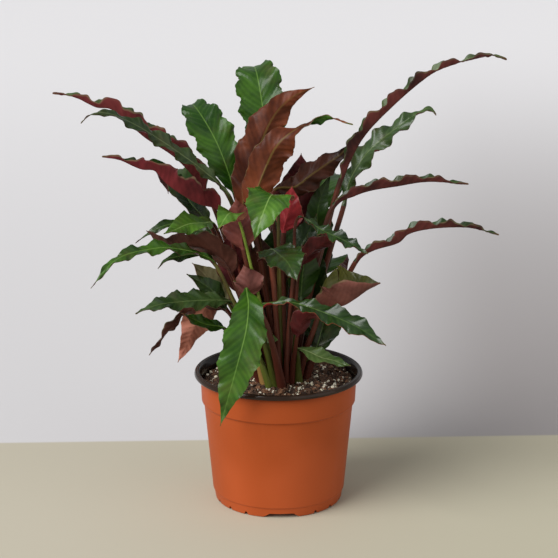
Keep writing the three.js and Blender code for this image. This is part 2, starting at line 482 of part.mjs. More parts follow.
// Evenly spaced points along stalk and midrib, with the step where the blade starts.
function leafPath(leaf) {
  const stalk = stalkPoints(leaf);
  const controls = [...stalk, ...leaf.blade.map(toVector)];
  const curve = new THREE.CatmullRomCurve3(controls);
  curve.arcLengthDivisions = 100 * (controls.length - 1);
  const lengths = curve.getLengths();
  const start = lengths[100 * stalk.length] / lengths[lengths.length - 1];
  return { points: curve.getSpacedPoints(PATH_STEPS), bladeStart: Math.round(start * PATH_STEPS) };
}

function pathTangents(points) {
  const last = points.length - 1;
  return points.map((_, i) => {
    const ahead = points[Math.min(i + 1, last)];
    const behind = points[Math.max(i - 1, 0)];
    return ahead.clone().sub(behind).normalize();
  });
}

function squareTo(vector, tangent) {
  return vector.clone().addScaledVector(tangent, -vector.dot(tangent)).normalize();
}

// The green side's direction at each step, carried along from mid length without twist.
function pathNormals(leaf, tangents, bladeStart) {
  const middle = Math.round((bladeStart + PATH_STEPS) / 2);
  const normals = new Array(tangents.length);
  normals[middle] = squareTo(toVector(leaf.face), tangents[middle]);
  for (let i = middle + 1; i < tangents.length; i += 1) normals[i] = squareTo(normals[i - 1], tangents[i]);
  for (let i = middle - 1; i >= 0; i -= 1) normals[i] = squareTo(normals[i + 1], tangents[i]);
  return normals;
}

function halfWidth(leaf, u) {
  const taper = 0.85 + (leaf.point ?? TIP_POINT) * u * u;
  const broad = (leaf.width / 2) * Math.sin(Math.PI * u ** (leaf.peak ?? 0.82)) ** taper;
  const atBase = lerp(0.87 * (leaf.stalk ?? STALK_RADIUS), TIP_HALF_WIDTH, u);
  return Math.max(broad || 0, atBase);
}

// One edge as its distance across from the midrib and its height over it; side is -1
// for the left edge and 1 for the right.
function bladeEdge(leaf, u, side) {
  const ease = Math.sqrt(Math.max(Math.sin(Math.PI * u), 0));
  const wave = 2 * Math.PI * leaf.waves * u + leaf.phase + (side > 0 ? 0 : 1.9);
  const half = halfWidth(leaf, u);
  const reach = half * (1 + (leaf.scallop ?? SCALLOP) * ease * Math.cos(wave));
  const rise = leaf.fold * half + leaf.swell * ease * Math.sin(wave);
  return { reach, rise, skin: (BLADE_THICKNESS / 2) * Math.min(Math.hypot(1, rise / reach), 3) };
}

// Corners of one section as [across, rise]: upper face left, middle, right, then lower face.
function bladeSection(leaf, u) {
  const left = bladeEdge(leaf, u, -1);
  const right = bladeEdge(leaf, u, 1);
  const base = leaf.stalk ?? STALK_RADIUS;
  const skin = Math.max(left.skin, right.skin);
  const top = Math.max(lerp(base, skin, Math.min(u * 8, 1)), skin);
  const rib = Math.max(lerp(base, skin + 0.1, Math.min(u * 1.2, 1)), skin);
  return [[-left.reach, left.rise + left.skin], [0, top], [right.reach, right.rise + right.skin],
    [right.reach, right.rise - right.skin], [0, -rib], [-left.reach, left.rise - left.skin]];
}

function stalkSection(radius) {
  return [150, 90, 30, -30, -90, -150].map((deg) => {
    return [radius * Math.cos(radians(deg)), radius * Math.sin(radians(deg))];
  });
}

function turned(section, angle) {
  const c = Math.cos(angle);
  const s = Math.sin(angle);
  return section.map(([x, z]) => [x * c - z * s, x * s + z * c]);
}

function placeSection(positions, section, centre, across, normal) {
  for (const [x, z] of section) {
    const corner = centre.clone().addScaledVector(across, x).addScaledVector(normal, z);
    positions.push(corner.x, corner.y, corner.z);
  }
}

// Skin over six-cornered sections, split alike on the upper and the lower face.
function skinTriangles(count) {
  const triangles = [];
  const quad = (a, b, i, flip) => {
    const [p, q, r, s] = [6 * i + a, 6 * i + b, 6 * i + 6 + b, 6 * i + 6 + a];
    if (flip) triangles.push(p, q, s, q, r, s);
    else triangles.push(p, q, r, p, r, s);
  };
  for (let i = 0; i < count - 1; i += 1) {
    quad(0, 1, i, false);
    quad(1, 2, i, true);
    quad(2, 3, i, false);
    quad(3, 4, i, false);
    quad(4, 5, i, true);
    quad(5, 0, i, false);
  }
  const end = 6 * (count - 1);
  triangles.push(0, 5, 1, 1, 5, 4, 1, 4, 2, 2, 4, 3);
  triangles.push(end, end + 1, end + 5, end + 1, end + 4, end + 5);
  triangles.push(end + 1, end + 2, end + 4, end + 2, end + 3, end + 4);
  return triangles;
}

function leafStations(leaf, bladeStart) {
  const steps = [];
  for (let i = 1; i < STALK_STATIONS; i += 1) steps.push(Math.round((bladeStart * i) / STALK_STATIONS));
  const count = (leaf.waves > 5 ? STATIONS_PER_WAVE - 1 : STATIONS_PER_WAVE) * leaf.waves;
  for (let i = 0; i <= count; i += 1) {
    steps.push(Math.round(lerp(bladeStart, PATH_STEPS, i / count)));
  }
  return steps;
}

function makeLeaf(leaf) {
  const { points, bladeStart } = leafPath(leaf);
  const tangents = pathTangents(points);
  const normals = pathNormals(leaf, tangents, bladeStart);
  const positions = [];
  const neck = leaf.stalk ?? STALK_RADIUS;
  const foot = leaf.foot ?? FOOT_STALK_RADIUS;
  const [x, y] = leaf.root;
  const ground = soilHeight(x, y);
  const upright = new THREE.Vector3(0, 0, 1);
  const level = squareTo(normals[0], upright);
  const levelAcross = upright.clone().cross(level).normalize();
  for (const z of [ground - STALK_DEPTH, ground + 2]) {
    placeSection(positions, stalkSection(foot), new THREE.Vector3(x, y, z), levelAcross, level);
  }
  for (const step of leafStations(leaf, bladeStart)) {
    const u = (step - bladeStart) / (PATH_STEPS - bladeStart);
    const across = tangents[step].clone().cross(normals[step]).normalize();
    const turn = radians(leaf.turn ?? 0) * THREE.MathUtils.smoothstep(u, 0.35, 0.85);
    const thickness = lerp(foot, neck, Math.min(step / bladeStart, 1));
    const section = u <= 0 ? stalkSection(thickness) : turned(bladeSection(leaf, u), turn);
    placeSection(positions, section, points[step], across, normals[step]);
  }
  const triangles = skinTriangles(positions.length / 18);
  const geometry = new THREE.BufferGeometry();
  geometry.setAttribute('position', new THREE.Float32BufferAttribute(positions, 3));
  geometry.setIndex(triangles);
  return namedMesh(leaf.name, geometry, leaf.tone, 0.35);
}

// ---------------------------------------------------------------- assembly
const group = new THREE.Group();
group.name = 'potted_calathea';
group.add(makePot());
group.add(makeSoil());
for (const leaf of LEAVES) group.add(makeLeaf(leaf));

export default group;
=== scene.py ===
import math
import random

import bpy
import numpy as np
from bpy.props import FloatProperty, FloatVectorProperty, IntProperty, PointerProperty
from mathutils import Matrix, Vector, noise


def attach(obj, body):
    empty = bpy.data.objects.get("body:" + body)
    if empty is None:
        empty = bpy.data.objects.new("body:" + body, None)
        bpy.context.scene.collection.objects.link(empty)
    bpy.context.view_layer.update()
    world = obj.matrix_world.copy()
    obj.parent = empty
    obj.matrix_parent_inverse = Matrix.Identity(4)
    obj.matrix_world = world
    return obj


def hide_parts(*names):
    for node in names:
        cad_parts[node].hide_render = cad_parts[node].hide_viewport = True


bl_info = {
    "name": "Potted Calathea",
    "version": (1, 0, 0),
    "blender": (4, 5, 0),
    "location": "View3D > Sidebar > Calathea",
    "description": "A calathea with long waved leaves in a plastic nursery pot",
    "category": "Object",
}

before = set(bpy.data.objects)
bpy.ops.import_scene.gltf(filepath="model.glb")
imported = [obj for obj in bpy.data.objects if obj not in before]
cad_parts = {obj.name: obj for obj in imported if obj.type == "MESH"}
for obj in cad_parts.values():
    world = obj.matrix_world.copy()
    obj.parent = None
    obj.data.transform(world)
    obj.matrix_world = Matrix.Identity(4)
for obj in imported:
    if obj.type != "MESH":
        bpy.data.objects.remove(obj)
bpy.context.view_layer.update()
MM = 0.001

# ---------------------------------------------------------------- sizes of the solids, in millimetres
POT_HEIGHT = 130.5
RIM_RADIUS = 82.5
LIP_HEIGHT = 5.2
LIP_INNER_RADIUS = 77.0
BAND_TOP_RADIUS = 76.2
BAND_BOTTOM_RADIUS = 75.3
BAND_BOTTOM_Z = 100.4
BODY_TOP_RADIUS = 73.1
BODY_TOP_Z = 98.8
BODY_BOTTOM_RADIUS = 65.0
BODY_BOTTOM_Z = 10.4
FOOT_RADIUS = 62.4
FOOT_RING_WIDTH = 2.8
FLOOR_UNDERSIDE_Z = 4.8
FLOOR_TOP_Z = 6.6
POT_WALL = 1.6
SLOT_TURN_DEG = -87.5
SLOT_COUNT = 3
SLOT_HEIGHT = 4.2
SLOT_BOTTOM_WIDTH = 36.0
SLOT_TOP_WIDTH = 23.0
NOTCH_OFFSETS_DEG = (32.5, 50.8, 69.2, 87.5)
NOTCH_HEIGHT = 3.6
NOTCH_WIDTH = 4.8
DRAIN_COUNT = 4
DRAIN_RADIUS = 4.5
DRAIN_CIRCLE_RADIUS = 38.0

SOIL_EDGE_Z = 117.5
SOIL_CROWN = 4.5
SOIL_LUMP = 0.9
SOIL_GAP = 0.4
STALK_DEPTH = 14.0

BLADE_THICKNESS = 0.9
BLADE_TAPER = 0.85
NECK_SHARE = 0.87  # half width of the blade's base against the stalk's radius
PEAK = 0.82
TIP_POINT = 0.45
SCALLOP = 0.08
LEFT_EDGE_LEAD = 1.9  # radians by which its waves run ahead of the right edge's
TURN_SPAN = (0.35, 0.85)  # shares of the blade between which its tip turns
STALK_RADIUS = 1.3
FOOT_STALK_RADIUS = 1.8
STALK_LEAN = 1.2
STALK_BENDS = (0.35, 0.7)  # shares of its height
STALK_COLLAR = 3.0

# ---------------------------------------------------------------- finer form of pot, mix and leaves
POT_ROUNDING = 0.9
MIX_SEGMENTS = 144
MIX_RINGS = 62
MIX_REACH = 73.0
CRUMB_SCALE = 0.16
CRUMB_RISE = 1.2
GRAIN_STRETCH = (0.75, 1.35)
FLAT_GRAIN = 0.6  # grains flatter than this lie level
CLUMP_SPREAD = 4.0
STALK_CLEARANCE = 3.4

SPAN_SAMPLES = 100
PATH_STEPS = 360
STALK_STEP = 4
COLUMNS = 13
OPENING = 0.07  # share of the blade in which the round stalk opens
TIP_HALF_WIDTH = 0.32
FINE_SCALLOP = 0.03
RUFFLE_RATE = 2.6
FINE_RATE = 5.3
VEIN_SLANT = 0.85
VEIN_CURVE = 0.015
GROOVE_DEPTH = 0.3
GROOVE_WIDTH = 0.8
RIB_SHARE = 0.75
RIB_WIDTH = 1.1
UV_WIDTH = 40.0  # millimetres across a blade that fill its UV map
STALK_SLOT = 2  # after the upper side's and the underside's

SHEATH_ROWS = 8
SHEATH_SIDES = 14
SHEATH_DEPTH = 6.0
SHEATH_SKIN = 0.3
SHEATH_REACH = 0.6  # share of the stalk that a sheath may cover
SHEATH_SLANT = 0.25
HAIR_FIRST_STEP = 6
HAIR_SEAT = 0.15
HAIR_THICKNESS = 0.14
HAIR_LEAN = 0.5


def leaf(name, **facts):
    """One leaf of the table, with defaults for what its row leaves out."""
    return {
        "name": name, "foot": FOOT_STALK_RADIUS, "stalk": STALK_RADIUS, "turn": 0, "peak": PEAK,
        "point": TIP_POINT, "scallop": SCALLOP, **facts,
    }


# root: where the stalk leaves the mix; width: of the blade at its broadest; face: the way the
# green side looks at mid length; blade: midrib from its base to its tip; waves, swell, phase:
# number, height and start of the edge waves; fold: rise of the edges against half the width;
# foot, stalk: radii of the stalk; turn: degrees by which the tip is turned; peak, point, scallop:
# where the blade is broadest, how pointed it is and how deep its edge is cut; tones: upper side,
# underside and stalk.
LEAVES = [
    leaf("leaf_far_left_high", root=[-9.5, 6], width=13, face=[0.35, 0.3, 0.8], blade=[[-69, 10, 305],
         [-96, -1, 341], [-125, -6, 362], [-156, -9, 389], [-170, -10, 391], [-190, -12, 401],
         [-210, -14, 404]], waves=7, swell=2.6, phase=0.4, fold=2, foot=2.9, stalk=2.1, peak=0.55,
         tones="grey wine maroon"),
    leaf("leaf_left_high", root=[-3, -3.5], width=17, face=[0.45, -0.5, 0.7], blade=[[-47, -12, 306],
         [-67, -23, 330], [-131, -49, 381], [-154, -55, 392], [-166, -57, 393], [-173, -58, 390],
         [-179, -60, 384]], waves=6, swell=3.4, phase=1.2, fold=0.15, foot=2.9, stalk=2.3,
         tones="grey wine olive"),
    leaf("leaf_left_upper", root=[-11, -11.5], width=16, face=[0.25, 0.35, 0.85],
         blade=[[-54.5, -21, 294], [-74.5, -31, 304], [-90.5, -38, 315], [-104, -42, 326],
         [-114, -45.5, 338], [-126, -48.5, 340], [-148, -51.5, 350], [-161.5, -53.5, 352]], waves=5,
         swell=2.8, phase=2, fold=1.8, foot=2.1, stalk=1.45, peak=0.5, tones="deep crimson red"),
    leaf("leaf_left_folded", root=[-13.5, -0.5], width=34, face=[0.5, -0.7, 0.5], blade=[[-66, -1, 275],
         [-84, 3, 296], [-97, 17, 315], [-109, 39.5, 319], [-109, 61.5, 292]], waves=4, swell=2.5,
         phase=0.5, fold=0.3, foot=2.1, stalk=1.45, tones="deep wine maroon"),
    leaf("leaf_left_lobe", root=[-14, -5], width=24, face=[0.1, -0.7, 0.7], blade=[[-62, -8, 278],
         [-71, -21, 282], [-84, -38, 285], [-96, -57, 284], [-105, -72, 284]], waves=2, swell=3,
         phase=1.4, fold=0.2, foot=2.3, stalk=1.7, tones="fresh brown maroon"),
    leaf("leaf_left_thread", root=[-14, 10.5], width=10, face=[0, -0.5, 0.85], blade=[[-67, 14, 273],
         [-86, 10, 275], [-101, 6, 275], [-114, 2, 272], [-126, -1, 266], [-137, -4, 258]], waves=2,
         swell=2, phase=0.3, fold=0.25, foot=2.8, stalk=1.7, tones="deep brown maroon"),
    leaf("leaf_left_inner_small", root=[-12.5, 16], width=15, face=[0, -0.6, 0.8],
         blade=[[-61, 22, 252], [-71, 28, 261], [-85, 34, 262], [-97, 40, 254]], waves=2, swell=2,
         phase=2.2, fold=0.2, foot=2.8, stalk=1.7, tones="deep brown maroon"),
    leaf("leaf_left_brown", root=[-8, -5], width=32, face=[0.2, 0.75, 0.6], blade=[[-43.5, -16, 230],
         [-50, -20.5, 244], [-59.5, -24.5, 254], [-74, -28, 261], [-105.5, -33.5, 266],
         [-124, -35, 278]], waves=4, swell=2.5, phase=0.9, fold=0.3, foot=2.3, stalk=1.45,
         tones="deep brown maroon"),
    leaf("leaf_left_long", root=[-9, -29.5], width=15, face=[0.1, -0.5, 0.85], blade=[[-61, -42, 249],
         [-74, -52, 260], [-90, -63, 267], [-104, -72, 271], [-116, -81, 272], [-140, -98, 270],
         [-152, -105, 263], [-168, -118, 245]], waves=5, swell=3, phase=0, fold=0.15, foot=2.5,
         stalk=1.7, tones="leaf wine olive"),
    leaf("leaf_left_wavy_small", root=[-16, -11.5], width=13, face=[0.1, -0.5, 0.85],
         blade=[[-61, -19, 243], [-71, -27, 252], [-82, -35, 255], [-93, -42, 255], [-104, -50, 254],
         [-112, -57, 247]], waves=2, swell=2.5, phase=1.1, fold=0.2, foot=2.8,
         tones="deep wine maroon"),
    leaf("leaf_left_grey", root=[-18.5, 6], width=27, face=[0.4, -0.8, 0.4], blade=[[-49, 10, 195],
         [-58, 14, 207], [-70, 15, 220], [-84, 14, 234]], waves=2, swell=2, phase=0.7, fold=0.15,
         foot=2.9, stalk=1.7, tones="pale salmon olive"),
    leaf("leaf_left_hook", root=[-11, -17], width=19, face=[0.4, -0.8, 0.5], blade=[[-50, -21, 198],
         [-63, -25, 217], [-87, -31, 235]], waves=2, swell=2, phase=1.9, fold=0.2, foot=2.9, stalk=1.7,
         tones="deep wine red"),
    leaf("leaf_hanging_back_left", root=[-13, 22], width=31, face=[-0.25, 0.95, 0.15],
         blade=[[-54, 26, 204], [-65, 38, 191], [-76, 47, 173], [-85, 53, 155], [-93, 56, 137],
         [-102, 58, 118]], waves=3, swell=3, phase=0.8, fold=0.15, foot=2.9, stalk=1.7,
         tones="leaf salmon maroon"),
    leaf("leaf_left_low_broad", root=[-13, -23], width=25, face=[0, -0.55, 0.83],
         blade=[[-44, -30, 206], [-52, -35, 210], [-105, -66, 216], [-120, -73, 214], [-132, -80, 210]],
         waves=5, swell=2.6, phase=2.4, fold=0.12, foot=2.9, stalk=1.7, tones="dusk wine olive"),
    leaf("leaf_left_low_small", root=[-18, -17], width=15, face=[0, -0.6, 0.8], blade=[[-52, -30, 181],
         [-71, -38, 188], [-92, -46, 201]], waves=2, swell=2, phase=0.2, fold=0.2, foot=2.9, stalk=1.7,
         tones="leaf wine maroon"),
    leaf("leaf_hanging_left", root=[-19, -1], width=17, face=[-0.6, 0.6, 0.5], blade=[[-49, 0, 188],
         [-63, -5, 196], [-78, -10, 197], [-92, -13, 190], [-102, -16, 180], [-125, -18, 150]], waves=4,
         swell=2.5, phase=1.5, fold=0.15, foot=2.9, stalk=1.7, tones="deep brown maroon"),
    leaf("leaf_front_hanging", root=[-3, -29], width=38, face=[0.05, -0.95, 0.3],
         blade=[[-30, -48, 224], [-28, -62, 214], [-30, -78, 194], [-38, -90, 164], [-54, -98, 107]],
         waves=5, swell=2.6, phase=0.6, fold=0.12, foot=3, stalk=2.5, tones="leaf wine olive"),
    leaf("leaf_front_curled", root=[-6, -20.5], width=29, face=[0, 0.9, 0.4], blade=[[-29, -30, 212],
         [-28, -37, 226], [-33, -34.5, 245]], waves=2, swell=2, phase=2.9, fold=0.4, foot=2.1,
         stalk=1.5, tones="leaf clay red"),
    leaf("leaf_front_left_light", root=[-3, -17], width=24, face=[-0.1, -0.7, 0.7],
         blade=[[-37, -34, 287], [-45, -58, 300], [-55, -82, 290]], waves=2, swell=2.5, phase=0.9,
         fold=0.15, foot=2, tones="fresh salmon green"),
    leaf("leaf_inner_pink", root=[-6, -12], width=33, face=[-0.1, 0.95, 0.2], blade=[[-33, -27.5, 258],
         [-35, -27.5, 275], [-40, -23.5, 307]], waves=2, swell=2.5, phase=1.7, fold=0.2, foot=2.5,
         stalk=2.5, tones="leaf rose maroon"),
    leaf("leaf_front_bright", root=[2.5, -15], width=42, face=[-0.05, -0.8, 0.6], blade=[[-1, -30, 302],
         [-6, -52, 316], [-13, -76, 307], [-22, -88, 282]], waves=4, swell=3, phase=2.6, fold=0.15,
         foot=2.6, stalk=1.5, tones="fresh salmon olive"),
    leaf("leaf_inner_red", root=[4.5, -8.5], width=27, face=[0.2, 0.9, 0.2], blade=[[5, -12, 271],
         [9, -12, 289], [13, -8, 315]], waves=2, swell=2, phase=0.1, fold=0.2, foot=2.8, stalk=2.5,
         tones="leaf red maroon"),
    leaf("leaf_front_middle", root=[1.5, -20.5], width=43, face=[0.1, -0.6, 0.75],
         blade=[[-7, -34, 258], [1, -56, 260], [9, -76, 257], [17, -90, 244]], waves=4, swell=3,
         phase=1.3, fold=0.12, foot=2.5, stalk=2.5, tones="deep wine maroon"),
    leaf("leaf_right_inner_under", root=[8, -16], width=23, face=[-0.3, 0.8, 0.5],
         blade=[[20, -27, 241], [33, -33, 259], [58, -38, 277]], waves=2, swell=2, phase=0.5, fold=0.2,
         foot=2.5, stalk=2.5, tones="deep wine maroon"),
    leaf("leaf_right_wavy", root=[6.5, -22.5], width=15, face=[0.35, -0.6, 0.7], blade=[[19, -35, 291],
         [40, -49, 282], [58, -60, 276], [74, -71, 270], [82, -76, 266]], waves=5, swell=3, phase=0.4,
         fold=0.2, foot=2.1, stalk=1.45, peak=1.3, tones="deep wine maroon"),
    leaf("leaf_right_narrow", root=[9.5, -4.5], width=7, face=[-0.2, 0.2, 0.9], blade=[[53, -6, 296],
         [71, -9, 307], [85, -10, 312], [112, -13, 317], [140, -14, 321], [179, -15, 318]], waves=5,
         swell=2.2, phase=2.1, fold=1.7, foot=2.5, stalk=2.5, tones="deep plum maroon"),
    leaf("leaf_right_low_arch", root=[27, -5], width=7, face=[-0.2, 0.15, 0.95], blade=[[74, -8, 241],
         [79, -9, 247], [91, -12, 255], [114, -15, 263], [122, -17, 271], [142, -20, 277],
         [182, -22, 278], [208, -24, 271]], waves=6, swell=2.4, phase=1, fold=1.6, foot=3.3, stalk=2.4,
         tones="deep plum maroon"),
    leaf("leaf_far_right_high", root=[15.5, 2], width=6.6, face=[-0.6, 0.25, 0.75], blade=[[60, 2, 321],
         [78, -2, 360], [107, -8, 393], [137, -15, 420], [150, -18, 428], [184, -22, 439],
         [196, -24, 441], [209.4, -26, 437]], waves=7, swell=3, phase=0.3, fold=2, foot=2.4, stalk=2.5,
         peak=0.5, tones="grey plum maroon"),
    leaf("leaf_right_burgundy", root=[0.5, 5.5], width=25, face=[0.25, 0.9, -0.2],
         blade=[[-4, 13.5, 306], [16, 15.5, 309], [31, 17.5, 320], [47, 19.5, 331], [60, 21.5, 340],
         [69, 23.5, 350]], waves=4, swell=3.2, phase=0.9, fold=0.2, foot=2.1, stalk=2, point=0.3,
         scallop=0.14, tones="deep dark maroon"),
    leaf("leaf_crown_burgundy", root=[-4.5, 2.5], width=38, face=[-0.1, 1, 0], blade=[[-34, 2, 287],
         [-29, 4, 318], [-18, 8, 350], [-4, 12, 379], [13, 14, 396], [34, 12, 406]], waves=5, swell=3,
         phase=0.6, fold=0.3, foot=3.1, stalk=2.05, scallop=0.1, tones="leaf copper maroon"),
    leaf("leaf_crown_turned", root=[-1, -9.5], width=33, face=[-0.3, 0.9, -0.2], blade=[[-25, -15, 291],
         [-11, -16, 337], [-3, -17, 353], [7, -18, 364], [27, -21, 377], [38, -24, 382], [50, -27, 383],
         [69, -32, 378]], waves=5, swell=2.6, phase=2.2, fold=0.2, foot=2.8, stalk=2.5, turn=150,
         peak=0.6, point=1, tones="leaf copper maroon"),
    leaf("leaf_crown_broad", root=[1, 12], width=44, face=[0, -0.97, 0.25], blade=[[-9, 36, 325],
         [-14, 46, 372], [-21, 66, 410], [-25, 98, 412], [-24, 119, 391]], waves=7, swell=2.6,
         phase=1.1, fold=0.12, foot=3.2, stalk=2.45, scallop=0.1, tones="leaf wine maroon"),
    leaf("leaf_crown_left", root=[-6.5, 12.5], width=40, face=[0.3, -0.9, 0.3], blade=[[-42, 22, 301],
         [-58, 34, 345], [-74, 50, 371], [-85, 74, 379], [-89, 98, 365]], waves=6, swell=2.6, phase=2.7,
         fold=0.12, foot=3.3, stalk=2.45, scallop=0.1, tones="leaf wine maroon"),
    leaf("leaf_right_high", root=[21, 7], width=24, face=[-0.62, -0.6, 0.5], blade=[[63, 18, 290],
         [69, 22, 314], [78, 24, 330], [89, 27, 344], [136, 37, 378], [145, 39, 381], [152, 40, 374]],
         waves=5, swell=4, phase=0.8, fold=0.15, foot=3.3, stalk=2.45, scallop=0.12,
         tones="dusk wine maroon"),
    leaf("leaf_right_upright", root=[13, 14], width=30, face=[0, -1, 0.1], blade=[[37, 30, 204],
         [38, 28, 250], [39, 26, 289], [51, 30, 321]], waves=3, swell=2.5, phase=1.6, fold=0.2,
         foot=3.3, stalk=2.45, tones="deep brown maroon"),
    leaf("leaf_right_dark", root=[8, 2], width=36, face=[-0.4, -0.9, 0.3], blade=[[13, 5.5, 215],
         [19, 8.5, 242], [37, 13.5, 283]], waves=2, swell=2, phase=0.4, fold=0.2, foot=2.5, stalk=2.45,
         tones="deep brown maroon"),
    leaf("leaf_right_trough", root=[19, -10.5], width=40, face=[-0.2, -0.17, 0.95],
         blade=[[41, -18, 194], [50, -22, 201], [61, -28, 204], [72, -34, 212], [84, -39, 222],
         [96, -42, 229]], waves=3, swell=2.5, phase=1.2, fold=1.5, foot=3.3, stalk=2.3,
         tones="olive clay maroon"),
    leaf("leaf_front_right_long", root=[3, -31], width=22, face=[0.1, -0.6, 0.75],
         blade=[[-16, -56, 210], [-3, -62, 216], [12, -69, 218], [68, -102, 206], [97, -120, 192]],
         waves=5, swell=3.4, phase=0.2, fold=0.2, foot=3.4, stalk=2.5, peak=1.6,
         tones="deep red maroon"),
    leaf("leaf_front_right_small", root=[12.5, -19], width=23, face=[-0.2, 0.7, 0.6],
         blade=[[18, -31, 173], [24, -37, 192], [42, -44, 206]], waves=2, swell=2, phase=0.9, fold=0.2,
         foot=2.7, stalk=1.75, tones="deep wine maroon"),
    leaf("leaf_low_right", root=[19, -18], width=17, face=[0, -0.5, 0.85], blade=[[19, -23.5, 158],
         [29, -28.5, 157], [41, -34.5, 153], [53, -37.5, 151], [63, -41.5, 148], [69, -44.5, 148]],
         waves=2, swell=2.2, phase=0.9, fold=0.2, foot=3.3, stalk=1.6, tones="soft brown olive"),
    leaf("leaf_front_drop", root=[-2, -23.5], width=17, face=[0, -0.9, 0.4], blade=[[-7, -26.5, 175],
         [-10, -29.5, 169], [-11, -30.5, 165]], waves=2, swell=1.4, phase=0.3, fold=0.2, foot=2,
         tones="soft brown olive"),
    leaf("leaf_inner_dark", root=[3.5, -2.5], width=39, face=[0.1, 0.9, 0.2], blade=[[-7, -7, 198],
         [-12, -6, 222], [-18, -5, 266]], waves=2, swell=2, phase=1, fold=0.2, foot=2.8, stalk=2.45,
         tones="deep dark maroon"),
    leaf("leaf_right_inner_dark", root=[14, 6.5], width=40, face=[-0.2, -0.95, 0.2],
         blade=[[25.5, 9, 185], [29.5, 10, 217], [36.5, 13, 256]], waves=2, swell=2, phase=2.3,
         fold=0.2, foot=2.3, stalk=2.45, tones="deep dark maroon"),
    leaf("leaf_right_inner_narrow", root=[11, -10], width=30, face=[0.3, -0.9, 0.2],
         blade=[[21, -10, 203], [23, -12, 229], [28, -14, 268]], waves=2, swell=1.6, phase=0.6,
         fold=0.2, foot=2.8, stalk=2.5, tones="deep dark olive"),
    leaf("leaf_back_left_high", root=[-5, 20], width=44, face=[-0.1, -0.2, 1], blade=[[-24, 34, 290],
         [-34, 58, 318], [-42, 92, 320], [-50, 118, 298]], waves=2, swell=3, phase=0.4, fold=0.15,
         foot=3.3, stalk=2.45, tones="leaf wine maroon"),
    leaf("leaf_back_middle", root=[3, 24], width=44, face=[0, -0.2, 1], blade=[[4, 40, 246],
         [8, 66, 272], [12, 96, 276], [16, 120.2, 260]], waves=3, swell=3, phase=1.4, fold=0.15,
         foot=3.3, stalk=2.45, tones="leaf wine maroon"),
    leaf("leaf_back_right_high", root=[7, 17.5], width=44, face=[0.1, -0.2, 1], blade=[[30, 36, 270],
         [42, 60, 300], [56, 90, 306], [68, 114, 290]], waves=2, swell=3, phase=2.2, fold=0.15,
         foot=3.3, stalk=2.45, tones="leaf wine maroon"),
    leaf("leaf_back_right_low", root=[10, 24], width=40, face=[0.1, 0.2, 1], blade=[[26, 40, 196],
         [42, 66, 218], [58, 92, 218], [72, 112, 196]], waves=2, swell=3, phase=0.1, fold=0.15,
         foot=3.3, stalk=2.45, tones="leaf wine maroon"),
    leaf("leaf_back_left_low", root=[-7, 27], width=40, face=[-0.1, 0.2, 1], blade=[[-24, 44, 200],
         [-38, 70, 222], [-52, 96, 222], [-62, 118, 202]], waves=2, swell=3, phase=1.8, fold=0.15,
         foot=3.3, stalk=2.45, tones="leaf wine maroon"),
    leaf("leaf_back_low_middle", root=[0, 30], width=36, face=[0, 0.3, 1], blade=[[0, 46, 176],
         [0, 68, 190], [-2, 92, 184], [-4, 112, 164]], waves=2, swell=2.5, phase=1.2, fold=0.15,
         foot=3.3, stalk=2.45, tones="leaf wine maroon"),
    leaf("leaf_inner_left_dark", root=[-9, -0.5], width=38, face=[-0.2, 0.9, 0.3],
         blade=[[-31.5, 1, 206], [-39.5, 3, 232], [-49.5, 7, 266]], waves=2, swell=2.5, phase=0.7,
         fold=0.2, foot=2.1, tones="deep wine maroon"),
    leaf("leaf_inner_middle_dark", root=[3.5, 2.5], width=47, face=[0.05, -0.95, 0.2],
         blade=[[8, 16, 212], [7, 18, 244], [5, 22, 282]], waves=2, swell=2.5, phase=2.1, fold=0.2,
         foot=1.9, stalk=1.85, tones="deep dark olive"),
    leaf("leaf_inner_right_low", root=[15.5, -3], width=36, face=[-0.3, -0.9, 0.3],
         blade=[[35, -11.5, 152], [43, -9.5, 178], [51, -7.5, 216]], waves=2, swell=2.2, phase=0.3,
         fold=0.2, foot=2.3, stalk=1.5, tones="deep dark olive"),
    leaf("leaf_back_crown_dark", root=[4, 8], width=46, face=[0, 1, 0.1], blade=[[14, 28.5, 262],
         [20, 32.5, 292], [22, 36.5, 338]], waves=2, swell=3, phase=0.9, fold=0.25, foot=2.2,
         stalk=2.45, tones="deep wine maroon"),
]


# ---------------------------------------------------------------- settings
class CalatheaPotSettings(bpy.types.PropertyGroup):
    segments: IntProperty(name="Segments", description="Faces round the pot", default=192, min=48)
    terracotta: FloatVectorProperty(
        name="Terracotta", description="Outer plastic", subtype="COLOR", default=(0.400, 0.0725, 0.0145)
    )
    lip: FloatVectorProperty(
        name="Lip", description="Lip and inner plastic", subtype="COLOR", default=(0.021, 0.0112, 0.0065)
    )


class CalatheaMixSettings(bpy.types.PropertyGroup):
    perlite: IntProperty(name="Perlite", description="Pale grains on the mix", default=420, min=0)
    bark: IntProperty(name="Bark", description="Bark chips on the mix", default=520, min=0)
    crumbs: IntProperty(name="Crumbs", description="Dark crumbs on the mix", default=2300, min=0)
    seed: IntProperty(name="Seed", description="Seed of the scatter", default=11)


class CalatheaLeafSettings(bpy.types.PropertyGroup):
    pleat_length: FloatProperty(
        name="Pleat length", description="Distance between side veins", default=0.0072, unit="LENGTH"
    )
    pleat_depth: FloatProperty(
        name="Pleat depth", description="Rise of the blade between side veins", default=0.0002, unit="LENGTH"
    )
    ruffle: FloatProperty(
        name="Ruffle", description="Fine waves of the edge against its broad waves", default=0.3, min=0
    )


class CalatheaSheathSettings(bpy.types.PropertyGroup):
    height: FloatProperty(name="Sheath height", description="Tallest sheath", default=0.062, unit="LENGTH")
    flare: FloatProperty(
        name="Sheath flare", description="Widest step from stalk to sheath at the mix", default=0.0013,
        unit="LENGTH",
    )
    seed: IntProperty(name="Seed", description="Seed of the sheaths", default=3)


